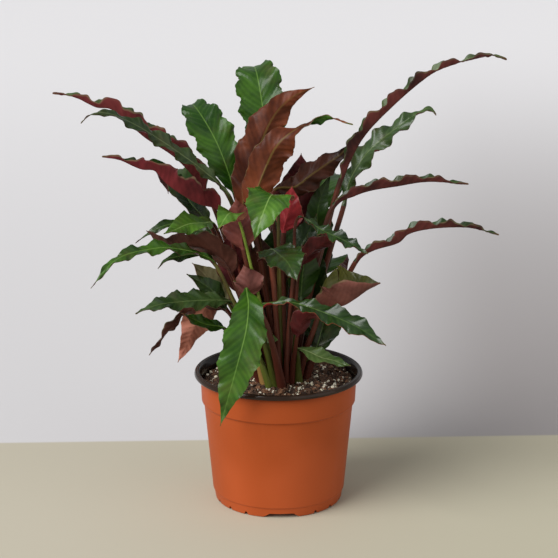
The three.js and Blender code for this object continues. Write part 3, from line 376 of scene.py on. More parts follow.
class CalatheaHairSettings(bpy.types.PropertyGroup):
    hairs: IntProperty(name="Hairs", description="Fine hairs on each stalk", default=46, min=1)
    length: FloatProperty(name="Hair length", description="Longest hair", default=0.0012, unit="LENGTH")
    seed: IntProperty(name="Seed", description="Seed of the hairs", default=5)


class CalatheaStageSettings(bpy.types.PropertyGroup):
    camera_distance: FloatProperty(
        name="Camera distance", description="Camera in front of the pot's axis", default=1.6, unit="LENGTH"
    )
    camera_height: FloatProperty(
        name="Camera height", description="Camera above the table", default=0.659, unit="LENGTH"
    )
    camera_pitch: FloatProperty(
        name="Camera pitch", description="Camera tilt below the horizon", default=math.radians(15.29),
        subtype="ANGLE",
    )
    lens: FloatProperty(name="Lens", description="Focal length in millimetres", default=110.9)


# ---------------------------------------------------------------- helpers for shapes
def deselect_all():
    if bpy.context.object and bpy.context.object.mode != "OBJECT":
        bpy.ops.object.mode_set(mode="OBJECT")
    bpy.ops.object.select_all(action="DESELECT")


def select_only(*objects):
    deselect_all()
    for each in objects:
        each.select_set(True)
    bpy.context.view_layer.objects.active = objects[0]


def keep_piece(piece, name, *, node=None):
    """Names a finished piece, seats its place in its mesh and ties it to the frame."""
    piece.name = name
    piece.data.name = name
    select_only(piece)
    bpy.ops.object.transform_apply(location=True, rotation=True, scale=True)
    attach(piece, "root")
    if node:
        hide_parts(node)


def apply_modifiers(piece):
    select_only(piece)
    for modifier in list(piece.modifiers):
        bpy.ops.object.modifier_apply(modifier=modifier.name)


def smooth(piece, degrees):
    select_only(piece)
    bpy.ops.object.shade_smooth_by_angle(angle=math.radians(degrees))


def turned(profile, segments):
    """Raises a ring through (radius, height) pairs in millimetres, closed at both ends."""
    deselect_all()
    radius, height = profile[0]
    bpy.ops.mesh.primitive_circle_add(
        vertices=segments, radius=radius * MM, fill_type="NOTHING", location=(0, 0, height * MM)
    )
    piece = bpy.context.object
    bpy.ops.object.transform_apply(location=True)
    bpy.ops.object.mode_set(mode="EDIT")
    bpy.ops.mesh.select_mode(type="EDGE")
    bpy.ops.mesh.select_all(action="SELECT")
    bpy.ops.mesh.edge_face_add()
    bpy.ops.mesh.select_mode(type="VERT")
    for next_radius, next_height in profile[1:]:
        bpy.ops.mesh.extrude_region_move(
            TRANSFORM_OT_translate={"value": (0, 0, (next_height - height) * MM)}
        )
        grow = next_radius / radius
        bpy.ops.transform.resize(value=(grow, grow, 1), center_override=(0, 0, next_height * MM))
        radius, height = next_radius, next_height
    bpy.ops.mesh.select_all(action="SELECT")
    bpy.ops.mesh.normals_make_consistent(inside=False)
    bpy.ops.object.mode_set(mode="OBJECT")
    return piece


def rounded(profile, radius, steps=4, share=0.45):
    """Rounds each inner corner of a profile with a curve over a share of its sides at most."""
    points = [np.array(p, float) for p in profile]
    out = [tuple(points[0])]
    for before, corner, after in zip(points, points[1:], points[2:]):
        ends = []
        for other in (before, after):
            away = np.linalg.norm(other - corner)
            ends.append(corner + (other - corner) / away * min(radius, away * share))
        for k in range(steps + 1):
            w = k / steps
            out.append(tuple((1 - w) ** 2 * ends[0] + 2 * w * (1 - w) * corner + w * w * ends[1]))
    out.append(tuple(points[-1]))
    return out


# ---------------------------------------------------------------- helpers for materials
class Looks:
    """A procedural material under construction."""

    # sockets of a Mix node that mixes colours
    AMOUNT, FIRST, SECOND, MIXED = 0, 6, 7, 2

    def __init__(self, name):
        self.material = bpy.data.materials.new(name)
        self.material.use_nodes = True
        self.tree = self.material.node_tree
        self.shader = self.tree.nodes["Principled BSDF"]

    def node(self, kind, **settings):
        made = self.tree.nodes.new(kind)
        for key, value in settings.items():
            setattr(made, key, value)
        return made

    def feed(self, socket, value):
        if isinstance(value, bpy.types.NodeSocket):
            self.tree.links.new(value, socket)
        else:
            socket.default_value = value

    def set(self, **sockets):
        for name, value in sockets.items():
            self.feed(self.shader.inputs[name.replace("_", " ")], value)

    def place(self):
        """Object coordinates, so a pattern stays on its piece."""
        return self.node("ShaderNodeTexCoord").outputs["Object"]

    def parts(self, vector):
        split = self.node("ShaderNodeSeparateXYZ")
        self.feed(split.inputs[0], vector)
        return split.outputs

    def sheet(self, name):
        """The two coordinates of a UV map of the piece."""
        return self.parts(self.node("ShaderNodeUVMap", uv_map=name).outputs[0])[:2]

    def math(self, operation, *values):
        made = self.node("ShaderNodeMath", operation=operation)
        for socket, value in zip(made.inputs, values):
            self.feed(socket, value)
        return made.outputs[0]

    def span(self, value, low, high, out_low=0.0, out_high=1.0):
        made = self.node("ShaderNodeMapRange", interpolation_type="SMOOTHSTEP")
        for socket, each in zip(made.inputs, (value, low, high, out_low, out_high)):
            self.feed(socket, each)
        return made.outputs[0]

    def mix(self, amount, first, second):
        made = self.node("ShaderNodeMix", data_type="RGBA")
        self.feed(made.inputs[self.AMOUNT], amount)
        self.feed(made.inputs[self.FIRST], colour(first))
        self.feed(made.inputs[self.SECOND], colour(second))
        return made.outputs[self.MIXED]

    def noise(self, scale, detail=3.0, roughness=0.55, stretch=None):
        made = self.node("ShaderNodeTexNoise")
        spot = self.place()
        if stretch:
            mapping = self.node("ShaderNodeMapping")
            self.feed(mapping.inputs["Scale"], stretch)
            self.feed(mapping.inputs["Vector"], spot)
            spot = mapping.outputs[0]
        values = {"Vector": spot, "Scale": scale, "Detail": detail, "Roughness": roughness}
        for socket, value in values.items():
            self.feed(made.inputs[socket], value)
        return made.outputs["Fac"]

    def bump(self, height, strength, distance):
        made = self.node("ShaderNodeBump")
        for socket, value in (("Height", height), ("Strength", strength), ("Distance", distance)):
            self.feed(made.inputs[socket], value)
        self.set(Normal=made.outputs[0])


def colour(value):
    """A colour with its alpha, or the socket that gives it."""
    if isinstance(value, bpy.types.NodeSocket):
        return value
    return (*value[:3], 1.0)


def srgb(red, green, blue):
    """Linear colour of a 0 to 255 display colour."""
    parts = [c / 255 for c in (red, green, blue)]
    return tuple(c / 12.92 if c <= 0.04045 else ((c + 0.055) / 1.055) ** 2.4 for c in parts)


# ---------------------------------------------------------------- potting mix
def soil_height(x, y):
    """The mix's smooth surface, as on its solid, in millimetres."""
    reach = min(math.hypot(x, y) / LIP_INNER_RADIUS, 1)
    mound = SOIL_CROWN * (1 - reach * reach)
    lumps = math.sin(x * 0.31 + 1.3) * math.cos(y * 0.27 - 0.6) + 0.6 * math.sin(x * 0.53 - y * 0.47)
    return SOIL_EDGE_Z + mound + SOIL_LUMP * lumps


def crumbled_height(x, y):
    """The mix's surface with its crumbs, in millimetres."""
    spot = Vector((x * CRUMB_SCALE, y * CRUMB_SCALE, 0.0))
    falloff, lacunarity, octaves = 0.8, 2.1, 5
    return soil_height(x, y) + CRUMB_RISE * noise.fractal(spot, falloff, lacunarity, octaves)


def mix_material():
    looks = Looks("potting_mix")
    grain = looks.noise(420.0, 6.0, 0.7)
    patches = looks.noise(70.0, 3.0)
    base = looks.mix(looks.span(grain, 0.38, 0.66), srgb(26, 16, 11), srgb(98, 70, 50))
    base = looks.mix(looks.span(patches, 0.45, 0.7, 0, 0.55), base, srgb(52, 36, 26))
    looks.set(Base_Color=base, Roughness=0.95)
    looks.bump(grain, 0.9, 0.0012)
    return looks.material


def make_mix():
    """The plug of mix: a wall that follows the pot and a crumbled top."""
    inset = POT_WALL + SOIL_GAP
    wall = [
        (FOOT_RADIUS - inset - 0.4, FLOOR_TOP_Z + SOIL_GAP),
        (BODY_BOTTOM_RADIUS - inset, BODY_BOTTOM_Z + 1),
        (BODY_TOP_RADIUS - inset, BODY_TOP_Z),
        (BAND_BOTTOM_RADIUS - inset, BAND_BOTTOM_Z + 1.4),
    ]
    top_radius = BAND_BOTTOM_RADIUS - inset + 0.3
    top = [(top_radius * (MIX_RINGS - k) / MIX_RINGS, SOIL_EDGE_Z) for k in range(MIX_RINGS)]
    top[-1] = (0.4, SOIL_EDGE_Z)
    piece = turned(wall + top, MIX_SEGMENTS)
    for vertex in piece.data.vertices:
        if vertex.co.z > (SOIL_EDGE_Z - 1) * MM:
            vertex.co.z = crumbled_height(vertex.co.x / MM, vertex.co.y / MM) * MM
    piece.data.materials.append(mix_material())
    smooth(piece, 40)
    keep_piece(piece, "potting_mix_surface", node="potting_mix")


def grain_shape(segments, rings):
    """Corners and faces of a round grain with a radius of 1."""
    deselect_all()
    bpy.ops.mesh.primitive_uv_sphere_add(segments=segments, ring_count=rings, radius=1.0)
    grain = bpy.context.object
    mesh = grain.data
    points = np.array([v.co[:] for v in mesh.vertices])
    faces = [list(p.vertices) for p in mesh.polygons]
    bpy.data.objects.remove(grain)
    bpy.data.meshes.remove(mesh)
    return points, faces


def linked_piece(name, points, faces, material):
    """A new piece from points in millimetres."""
    mesh = bpy.data.meshes.new(name)
    mesh.from_pydata((np.array(points) * MM).tolist(), [], faces)
    mesh.materials.append(material)
    piece = bpy.data.objects.new(name, mesh)
    bpy.context.scene.collection.objects.link(piece)
    return piece


def grain_spot(last, stalks, clump, rng):
    """A place on the mix clear of the stalks, now and then beside the last one."""
    while True:
        if rng.random() < clump:
            x = last[0] + rng.uniform(-CLUMP_SPREAD, CLUMP_SPREAD)
            y = last[1] + rng.uniform(-CLUMP_SPREAD, CLUMP_SPREAD)
        else:
            radius = MIX_REACH * math.sqrt(rng.random())
            angle = rng.random() * 2 * math.pi
            x, y = radius * math.cos(angle), radius * math.sin(angle)
        nearest = min(math.hypot(x - sx, y - sy) for sx, sy in stalks)
        if math.hypot(x, y) <= MIX_REACH and nearest >= STALK_CLEARANCE:
            return x, y


def scatter(name, count, material, rng, *, sizes, squash, sink, jag=0.25, sides=(7, 5), clump=0.0):
    """Copies one grain over the mix, each copy with its own size, turn and dents."""
    shape, faces = grain_shape(*sides)
    stalks = [each["root"] for each in LEAVES]
    all_points, all_faces = [], []
    spot = (0.0, 0.0)
    for placed in range(count):
        spot = grain_spot(spot, stalks, clump, rng)
        size = sizes[0] + (sizes[1] - sizes[0]) * rng.random() ** 2
        dents = np.array([1 + rng.uniform(-jag, jag) for _ in range(len(shape))])[:, None]
        stretch = np.array([rng.uniform(*GRAIN_STRETCH), rng.uniform(*GRAIN_STRETCH), rng.uniform(*squash)])
        lean = rng.uniform(-1, 1), rng.uniform(-1, 1)
        if squash[1] > FLAT_GRAIN:
            axis = Vector((*lean, rng.uniform(-1, 1)))
        else:
            axis = Vector((lean[0] / 2, lean[1] / 2, 1))
        spin = np.array(axis.normalized().to_track_quat("Z", "Y").to_matrix())
        local = (shape * dents * stretch * size) @ spin.T
        all_points.append(local + (*spot, crumbled_height(*spot) + size * sink))
        all_faces += [[vertex + len(shape) * placed for vertex in face] for face in faces]
    piece = linked_piece(name, np.concatenate(all_points), all_faces, material)
    smooth(piece, 42)
    keep_piece(piece, name)


def grain_material(name, low, high, roughness):
    looks = Looks(name)
    grain = looks.noise(900.0, 4.0)
    drift = looks.noise(190.0, 2.0)
    base = looks.mix(looks.span(grain, 0.35, 0.65, 0.15, 1), low, high)
    base = looks.mix(looks.span(drift, 0.42, 0.62, 0, 0.65), base, low)
    looks.set(Base_Color=base, Roughness=roughness)
    looks.bump(grain, 0.6, 0.0004)
    return looks.material


# ---------------------------------------------------------------- pot
def pot_profile():
    """(radius, height) pairs from the floor's underside, up the outside and down the inside."""
    lip_bottom = POT_HEIGHT - LIP_HEIGHT
    foot_inner = FOOT_RADIUS - FOOT_RING_WIDTH
    outside = rounded([
        (foot_inner, 0.0),
        (FOOT_RADIUS, 0.0),
        (FOOT_RADIUS + 1.6, BODY_BOTTOM_Z - 1),
        (BODY_BOTTOM_RADIUS, BODY_BOTTOM_Z),
        (BODY_TOP_RADIUS, BODY_TOP_Z),
        (BAND_BOTTOM_RADIUS, BAND_BOTTOM_Z),
        (BAND_TOP_RADIUS, lip_bottom - 2.6),
        (BAND_TOP_RADIUS - 0.8, lip_bottom - 1.3),
        (BAND_TOP_RADIUS + 0.8, lip_bottom),
        (RIM_RADIUS - 0.7, lip_bottom + 0.3),
        (RIM_RADIUS, lip_bottom + 2),
        (RIM_RADIUS - 0.9, POT_HEIGHT - 0.7),
        (RIM_RADIUS - 2.4, POT_HEIGHT),
        (RIM_RADIUS - 3.4, POT_HEIGHT - 0.9),
        (RIM_RADIUS - 4.4, POT_HEIGHT - 0.2),
        (LIP_INNER_RADIUS, POT_HEIGHT - 1.6),
        (BAND_TOP_RADIUS - POT_WALL, lip_bottom - 2.6),
        (BAND_BOTTOM_RADIUS - POT_WALL, BAND_BOTTOM_Z + 1),
        (BODY_TOP_RADIUS - POT_WALL, BODY_TOP_Z),
        (BODY_BOTTOM_RADIUS - POT_WALL, BODY_BOTTOM_Z + 0.6),
        (FOOT_RADIUS - POT_WALL, FLOOR_TOP_Z),
        (1.0, FLOOR_TOP_Z),
    ], POT_ROUNDING)
    return [(1.0, FLOOR_UNDERSIDE_Z), (foot_inner - 1.4, FLOOR_UNDERSIDE_Z)] + outside


def wedge(outline, bearing, inner, outer):
    """A cutter along a bearing: its outline is given across and up, in millimetres."""
    deselect_all()
    bpy.ops.mesh.primitive_circle_add(vertices=len(outline), radius=0.01, fill_type="NGON")
    piece = bpy.context.object
    for vertex, (across, up) in zip(piece.data.vertices, outline):
        vertex.co = (inner * MM, across * MM, up * MM)
    bpy.ops.object.mode_set(mode="EDIT")
    bpy.ops.mesh.select_all(action="SELECT")
    bpy.ops.mesh.extrude_region_move(TRANSFORM_OT_translate={"value": ((outer - inner) * MM, 0, 0)})
    bpy.ops.mesh.select_all(action="SELECT")
    bpy.ops.mesh.normals_make_consistent(inside=False)
    bpy.ops.object.mode_set(mode="OBJECT")
    piece.rotation_euler.z = math.radians(bearing)
    return piece


def foot_cutters():
    """Cutters of the foot's slots and notches and the floor's drain holes, joined in one."""
    low, high, half = SLOT_BOTTOM_WIDTH / 2, SLOT_TOP_WIDTH / 2, NOTCH_WIDTH / 2
    slot = [(-low - 2, -1), (low + 2, -1), (low, 0), (high + 1.5, SLOT_HEIGHT - 1.2), (high, SLOT_HEIGHT),
            (-high, SLOT_HEIGHT), (-high - 1.5, SLOT_HEIGHT - 1.2), (-low, 0)]
    notch = [(-half, -1), (half, -1), (half, 0), (0.9, NOTCH_HEIGHT - 0.5), (0, NOTCH_HEIGHT),
             (-0.9, NOTCH_HEIGHT - 0.5), (-half, 0)]
    cutters = []
    for k in range(SLOT_COUNT):
        bearing = SLOT_TURN_DEG + k * 360 / SLOT_COUNT
        cutters.append(wedge(slot, bearing, FOOT_RADIUS - 12, FOOT_RADIUS + 6))
        for offset in NOTCH_OFFSETS_DEG:
            cutters.append(wedge(notch, bearing + offset, FOOT_RADIUS - 6, FOOT_RADIUS + 4))
    depth = 12 * MM
    circle = DRAIN_CIRCLE_RADIUS * MM
    for k in range(DRAIN_COUNT):
        bearing = math.radians(SLOT_TURN_DEG + 45 + k * 360 / DRAIN_COUNT)
        deselect_all()
        bpy.ops.mesh.primitive_cylinder_add(
            vertices=32, radius=DRAIN_RADIUS * MM, depth=depth,
            location=(circle * math.cos(bearing), circle * math.sin(bearing), depth / 2),
        )
        cutters.append(bpy.context.object)
    select_only(*cutters)
    bpy.ops.object.join()
    bpy.ops.object.transform_apply(location=True, rotation=True, scale=True)
    return bpy.context.object


def terracotta_material(tint):
    looks = Looks("terracotta_plastic")
    cloud = looks.noise(9.0, 2.0)
    streaks = looks.noise(60.0, 4.0, stretch=(1.0, 1.0, 0.12))
    specks = looks.noise(900.0, 2.0)
    pale = tuple(min(c * 1.1 + 0.006, 1) for c in tint)
    deep = tuple(c * 0.9 for c in tint)
    base = looks.mix(looks.span(cloud, 0.35, 0.68), deep, pale)
    base = looks.mix(looks.span(streaks, 0.58, 0.8, 0, 0.25), base, pale)
    base = looks.mix(looks.span(specks, 0.66, 0.74, 0, 0.25), base, deep)
    rough = looks.span(streaks, 0.3, 0.75, 0.42, 0.52)
    looks.set(Base_Color=base, Roughness=rough, Specular_IOR_Level=0.16)
    looks.bump(specks, 0.12, 0.0004)
    return looks.material


def lip_material(tint):
    looks = Looks("lip_plastic")
    cloud = looks.noise(40.0, 3.0)
    dust = looks.noise(500.0, 3.0)
    deep = tuple(c * 0.8 for c in tint)
    pale = tuple(c * 1.5 for c in tint)
    base = looks.mix(looks.span(cloud, 0.35, 0.7), deep, pale)
    base = looks.mix(looks.span(dust, 0.6, 0.85, 0, 0.3), base, srgb(104, 82, 64))
    looks.set(Base_Color=base, Roughness=0.15, Specular_IOR_Level=0.24)
    looks.bump(dust, 0.12, 0.0003)
    return looks.material


def make_pot(settings):
    """The pot: terracotta outside, dark on its lip and inside."""
    piece = turned(pot_profile(), settings.segments)
    cutters = foot_cutters()
    cut = piece.modifiers.new("foot_cuts", "BOOLEAN")
    cut.operation = "DIFFERENCE"
    cut.object = cutters
    cut.solver = "EXACT"
    apply_modifiers(piece)
    bpy.data.objects.remove(cutters)
    piece.data.materials.clear()
    piece.data.materials.append(terracotta_material(settings.terracotta))
    piece.data.materials.append(lip_material(settings.lip))
    lip_from = (POT_HEIGHT - LIP_HEIGHT - 0.2) * MM
    inside_from = (FLOOR_UNDERSIDE_Z + 1) * MM
    for face in piece.data.polygons:
        outward = Vector((face.center.x, face.center.y, 0)).dot(face.normal) > 0
        inside = not outward and face.center.z > inside_from
        face.material_index = 1 if inside or face.center.z > lip_from else 0
    smooth(piece, 32)
    keep_piece(piece, "nursery_pot", node="pot")


# ---------------------------------------------------------------- leaf form
def curve_at(controls, t):
    """Centripetal curve through the controls, for t from 0 to 1."""
    p = np.array(controls, float)
    p = np.vstack([2 * p[0] - p[1], p, 2 * p[-1] - p[-2]])
    place = np.clip(t, 0, 1) * (len(controls) - 1)
    i = np.minimum(place.astype(int), len(controls) - 2)
    w = (place - i)[:, None]
    a, b, c, d = p[i], p[i + 1], p[i + 2], p[i + 3]
    ab, bc, cd = (np.sqrt(np.linalg.norm(n - m, axis=1))[:, None] for m, n in ((a, b), (b, c), (c, d)))
    start = ((b - a) / ab - (c - a) / (ab + bc) + (c - b) / bc) * bc
    end = ((c - b) / bc - (d - b) / (bc + cd) + (d - c) / cd) * bc
    return b + start * w + (3 * (c - b) - 2 * start - end) * w**2 + (2 * (b - c) + start + end) * w**3


def stalk_points(facts):
    """The stalk's foot and its two bends, which lean more and more towards the blade."""
    x, y = facts["root"]
    neck_x, neck_y, neck_z = facts["blade"][0]
    foot_z = soil_height(x, y) + STALK_COLLAR
    points = [(x, y, foot_z)]
    for share in STALK_BENDS:
        lean = share**STALK_LEAN
        points.append((
            x + (neck_x - x) * lean, y + (neck_y - y) * lean, foot_z + (neck_z - foot_z) * share,
        ))
    return points


def leaf_path(facts):
    """Evenly spaced points along stalk and midrib, the step where the blade starts, and the length."""
    stalk = stalk_points(facts)
    controls = stalk + facts["blade"]
    t = np.linspace(0, 1, SPAN_SAMPLES * (len(controls) - 1) + 1)
    line = curve_at(controls, t)
    run = np.concatenate([[0], np.cumsum(np.linalg.norm(np.diff(line, axis=0), axis=1))])
    start = run[SPAN_SAMPLES * len(stalk)] / run[-1]
    even = np.interp(np.linspace(0, run[-1], PATH_STEPS + 1), run, t)
    return curve_at(controls, even), round(start * PATH_STEPS), run[-1]


def stalk_radius(facts, share):
    """Radius of the stalk at a share of its length from the foot."""
    return facts["foot"] + (facts["stalk"] - facts["foot"]) * share


def unit(vectors):
    return vectors / np.linalg.norm(vectors, axis=-1, keepdims=True)


def square_to(vector, tangent):
    """The part of a vector that stands square to a tangent, as a unit vector."""
    return unit(vector - tangent * np.dot(vector, tangent))


def path_frames(facts, points, blade_start):
    """Tangent and green side's direction at each step, carried along from mid length."""
    ahead = np.vstack([points[1:], points[-1:]])
    behind = np.vstack([points[:1], points[:-1]])
    tangents = unit(ahead - behind)
    normals = np.zeros_like(tangents)
    middle = round((blade_start + PATH_STEPS) / 2)
    normals[middle] = square_to(np.array(facts["face"], float), tangents[middle])
    for i in range(middle + 1, len(points)):
        normals[i] = square_to(normals[i - 1], tangents[i])
    for i in range(middle - 1, -1, -1):
        normals[i] = square_to(normals[i + 1], tangents[i])
    return tangents, normals


def smoothstep(value, low, high):
    w = np.clip((value - low) / (high - low), 0, 1)
    return w * w * (3 - 2 * w)


def half_width(facts, u):
    taper = BLADE_TAPER + facts["point"] * u * u
    broad = facts["width"] / 2 * np.clip(np.sin(np.pi * u ** facts["peak"]), 0, 1) ** taper
    at_base = NECK_SHARE * facts["stalk"] * (1 - u) + TIP_HALF_WIDTH * u
    return np.maximum(broad, at_base)


def blade_rings(facts, u, along, blade_length, settings):
    """Sections of the blade as [across, rise] in millimetres: upper side, then underside.

    u runs from 0 at the blade's base to 1 at its tip, and v from one edge to the other.
    """
    v = np.linspace(-1, 1, COLUMNS)[None, :]
    u = u[:, None]
    along = along[:, None]
    half = half_width(facts, u)
    side = np.abs(v)
    ease = np.sqrt(np.clip(np.sin(np.pi * u), 0, 1))

    # outline and edge waves
    at_edge = 2 * np.pi * facts["waves"] * u + facts["phase"] + np.where(v > 0, 0.0, LEFT_EDGE_LEAD)
    fine_edge = np.cos(RUFFLE_RATE * at_edge + 0.7) + 0.5 * np.cos(FINE_RATE * at_edge)
    broad_cut = facts["scallop"] * ease * np.cos(at_edge) * side**2
    x = v * half * (1 + broad_cut + FINE_SCALLOP * ease * fine_edge * side**5)
    slant = VEIN_SLANT * half * (1 - side) / blade_length
    wave = at_edge + 2 * np.pi * facts["waves"] * slant
    ripple = np.sin(wave) + settings.ruffle * np.sin(RUFFLE_RATE * wave + 1.1)
    rise = facts["fold"] * half * side**1.2 + facts["swell"] * ease * ripple * side**1.4

    # pleats between the side veins, which run slantwise from the midrib
    run = np.hypot(np.diff(x, axis=1), np.diff(rise, axis=1))
    out = np.concatenate([np.zeros_like(half), np.cumsum(run, axis=1)], axis=1)
    out = out - out[:, COLUMNS // 2][:, None]
    vein = (along - VEIN_SLANT * np.abs(out) - VEIN_CURVE * out * out) / (settings.pleat_length / MM)
    vein = vein + 0.3 * np.sin(0.12 * along + 5 * facts["phase"]) + np.where(v > 0, 0.0, 0.4)
    pleat = settings.pleat_depth / MM * np.cos(2 * np.pi * vein) * smoothstep(side, 0.04, 0.25)
    rise = rise + pleat * (1 - 0.7 * side**6) * smoothstep(u, 0.02, 0.12) * smoothstep(1 - u, 0.02, 0.15)

    # skin, thinner at edge and tip, with the midrib's groove above and its rib below
    slope = np.gradient(rise, axis=1) / np.maximum(np.gradient(x, axis=1), 1e-3)
    skin = BLADE_THICKNESS / 2 * (1 - 0.35 * side**6) * np.minimum(np.hypot(1, slope), 3)
    skin = skin * (1 - 0.5 * smoothstep(u, 0.88, 1.0))
    groove = GROOVE_DEPTH * np.exp(-((x / GROOVE_WIDTH) ** 2)) * smoothstep(half, 1.5, 5)
    rib_size = facts["stalk"] * np.clip(1 - u * 1.1, 0.12, 1) * RIB_SHARE
    rib = rib_size * np.exp(-((x / RIB_WIDTH) ** 2)) * smoothstep(half, 0.8, 2.5)
    upper = np.stack([x, rise + skin - groove], axis=-1)
    under = np.stack([x, rise - skin - rib], axis=-1)[:, ::-1]
    return np.concatenate([upper, under], axis=1), vein, out


def stalk_ring(radius):
    """A round section with as many corners as the blade's sections have."""
    angle = np.radians(180 - (np.arange(2 * COLUMNS) + 0.5) * 180 / COLUMNS)
    return np.stack([np.cos(angle), np.sin(angle)], axis=-1) * radius


def foot_rings(facts, normal):
    """Level rings of the stalk in the mix, turned as its first step is."""
    x, y = facts["root"]
    ground = soil_height(x, y)
    level = square_to(normal, np.array([0.0, 0.0, 1.0]))
    level_side = np.cross([0.0, 0.0, 1.0], level)
    ring = stalk_ring(facts["foot"])
    feet = []
    for z in (ground - STALK_DEPTH, ground - 1, ground + 2):
        feet.append(np.array([x, y, z]) + ring[:, :1] * level_side + ring[:, 1:] * level)
    return np.array(feet)


def leaf_surface(facts, settings):
    """Vertices of a leaf, ring by ring, with the values that its finish reads."""
    points, blade_start, length = leaf_path(facts)
    tangents, normals = path_frames(facts, points, blade_start)
    on_stalk = np.arange(0, blade_start, STALK_STEP)[1:]
    steps = np.concatenate([on_stalk, np.arange(blade_start, PATH_STEPS + 1)])
    u = (steps - blade_start) / (PATH_STEPS - blade_start)
    on_blade = np.clip(u, 0, 1)
    along = np.clip(steps - blade_start, 0, None) * length / PATH_STEPS
    blade_length = length * (1 - blade_start / PATH_STEPS)
    sections, vein, out = blade_rings(facts, on_blade, along, blade_length, settings)

    # the round stalk opens into the blade, and the blade may turn towards its tip
    thick = stalk_radius(facts, np.minimum(steps / blade_start, 1))
    round_part = stalk_ring(1.0)[None] * thick[:, None, None]
    spread = smoothstep(u, 0.0, OPENING)[:, None, None]
    sections = round_part * (1 - spread) + sections * spread
    turn = np.radians(facts["turn"]) * smoothstep(on_blade, *TURN_SPAN)
    c, s = np.cos(turn)[:, None], np.sin(turn)[:, None]
    across = sections[..., 0] * c - sections[..., 1] * s
    rise = sections[..., 0] * s + sections[..., 1] * c
    side = unit(np.cross(tangents, normals))
    sideways = across[..., None] * side[steps][:, None]
    upwards = rise[..., None] * normals[steps][:, None]
    rings = points[steps][:, None] + sideways + upwards
    feet = foot_rings(facts, normals[0])
    rings = np.concatenate([feet, rings])

    # for the finish: place among the side veins, share of the way to the edge, distance from
    # the midrib and share of the way to the tip
    share = np.linspace(-1, 1, COLUMNS)
    share = np.concatenate([share, share[::-1]])
    lead = np.zeros((len(feet), 2 * COLUMNS))
    vein = np.concatenate([lead, np.concatenate([vein, vein[:, ::-1]], axis=1)])
    edge = np.concatenate([lead, np.repeat(share[None], len(steps), axis=0)])
    width = np.concatenate([lead, np.concatenate([out, out[:, ::-1]], axis=1)])
    progress = np.concatenate([np.zeros(len(feet)), on_blade])
    blade_row = len(feet) + int(np.argmax(steps >= blade_start))
    return rings * MM, vein, edge, width, progress, blade_row


def rolled_grid(rings):
    """A grid laid on the rings, one row each, whose last column lies on its first."""
    count, around = rings.shape[:2]
    deselect_all()
    bpy.ops.mesh.primitive_grid_add(x_subdivisions=around, y_subdivisions=count - 1, size=1)
    piece = bpy.context.object
    index = np.arange(around + 1) % around
    piece.data.vertices.foreach_set("co", rings[:, index].reshape(-1))
    return piece


def close_skin():
    """Joins the seam of the active rolled grid, fills both ends and turns its faces outwards."""
    bpy.ops.object.mode_set(mode="EDIT")
    bpy.ops.mesh.select_all(action="SELECT")
    bpy.ops.mesh.remove_doubles(threshold=1e-6)
    bpy.ops.mesh.select_all(action="DESELECT")
    bpy.ops.mesh.select_mode(type="EDGE")
    bpy.ops.mesh.select_non_manifold()
    bpy.ops.mesh.edge_face_add()
    bpy.ops.mesh.select_all(action="SELECT")
    bpy.ops.mesh.normals_make_consistent(inside=False)
    bpy.ops.object.mode_set(mode="OBJECT")


def leaf_mesh(facts, settings):
    """A grid rolled into one closed skin: a round stalk that opens into the blade."""
    rings, vein, edge, width, progress, blade_row = leaf_surface(facts, settings)
    around = rings.shape[1]
    piece = rolled_grid(rings)
    mesh = piece.data
    corner = np.zeros(len(mesh.loops), int)
    mesh.loops.foreach_get("vertex_index", corner)
    row, column = corner // (around + 1), corner % (around + 1)
    start = np.zeros(len(mesh.polygons), int)
    mesh.polygons.foreach_get("loop_start", start)
    face_row = np.max([row[start + k] for k in range(4)], axis=0)
    face_column = np.min([column[start + k] for k in range(4)], axis=0)
    under = (face_column >= COLUMNS - 1).astype(int)
    mesh.polygons.foreach_set("material_index", np.where(face_row <= blade_row, STALK_SLOT, under))
    column = column % around
    for name, first, second in (
        ("veins", vein[row, column], edge[row, column]),
        ("reach", progress[row], width[row, column] / UV_WIDTH + 0.5),
    ):
        layer = mesh.uv_layers.new(name=name)
        layer.data.foreach_set("uv", np.stack([first, second], axis=-1).reshape(-1))
    mesh.uv_layers.remove(mesh.uv_layers[0])
    close_skin()
    return piece


# ---------------------------------------------------------------- leaf finish
UPPER_TONES = {  # deep, light, vein and midrib
    "fresh": (srgb(42, 80, 16), srgb(88, 128, 40), srgb(146, 176, 96)),
    "leaf": (srgb(24, 56, 8), srgb(62, 100, 24), srgb(112, 146, 66)),
    "deep": (srgb(14, 34, 7), srgb(42, 70, 20), srgb(88, 112, 56)),
    "grey": (srgb(34, 52, 22), srgb(76, 94, 50), srgb(120, 132, 90)),
    "dusk": (srgb(26, 48, 18), srgb(60, 84, 38), srgb(104, 120, 72)),
    "soft": (srgb(54, 78, 34), srgb(104, 128, 70), srgb(140, 152, 104)),
    "pale": (srgb(84, 82, 52), srgb(128, 122, 88), srgb(156, 144, 110)),
    "olive": (srgb(52, 58, 20), srgb(100, 100, 46), srgb(130, 122, 66)),
}
UNDER_TONES = {
    "wine": (srgb(50, 15, 17), srgb(102, 39, 40), srgb(80, 32, 31)),
    "copper": (srgb(60, 24, 12), srgb(122, 62, 36), srgb(96, 48, 28)),
    "red": (srgb(98, 21, 26), srgb(172, 50, 54), srgb(136, 44, 46)),
    "crimson": (srgb(66, 17, 22), srgb(124, 42, 47), srgb(96, 36, 38)),
    "clay": (srgb(84, 45, 41), srgb(138, 86, 78), srgb(108, 64, 56)),
    "plum": (srgb(40, 16, 16), srgb(92, 42, 38), srgb(66, 30, 26)),
    "dark": (srgb(32, 13, 6), srgb(80, 39, 23), srgb(52, 25, 15)),
    "brown": (srgb(50, 26, 21), srgb(98, 58, 48), srgb(74, 42, 36)),
    "rose": (srgb(68, 30, 28), srgb(120, 64, 54), srgb(100, 52, 44)),
    "salmon": (srgb(120, 66, 55), srgb(178, 117, 98), srgb(144, 90, 74)),
}
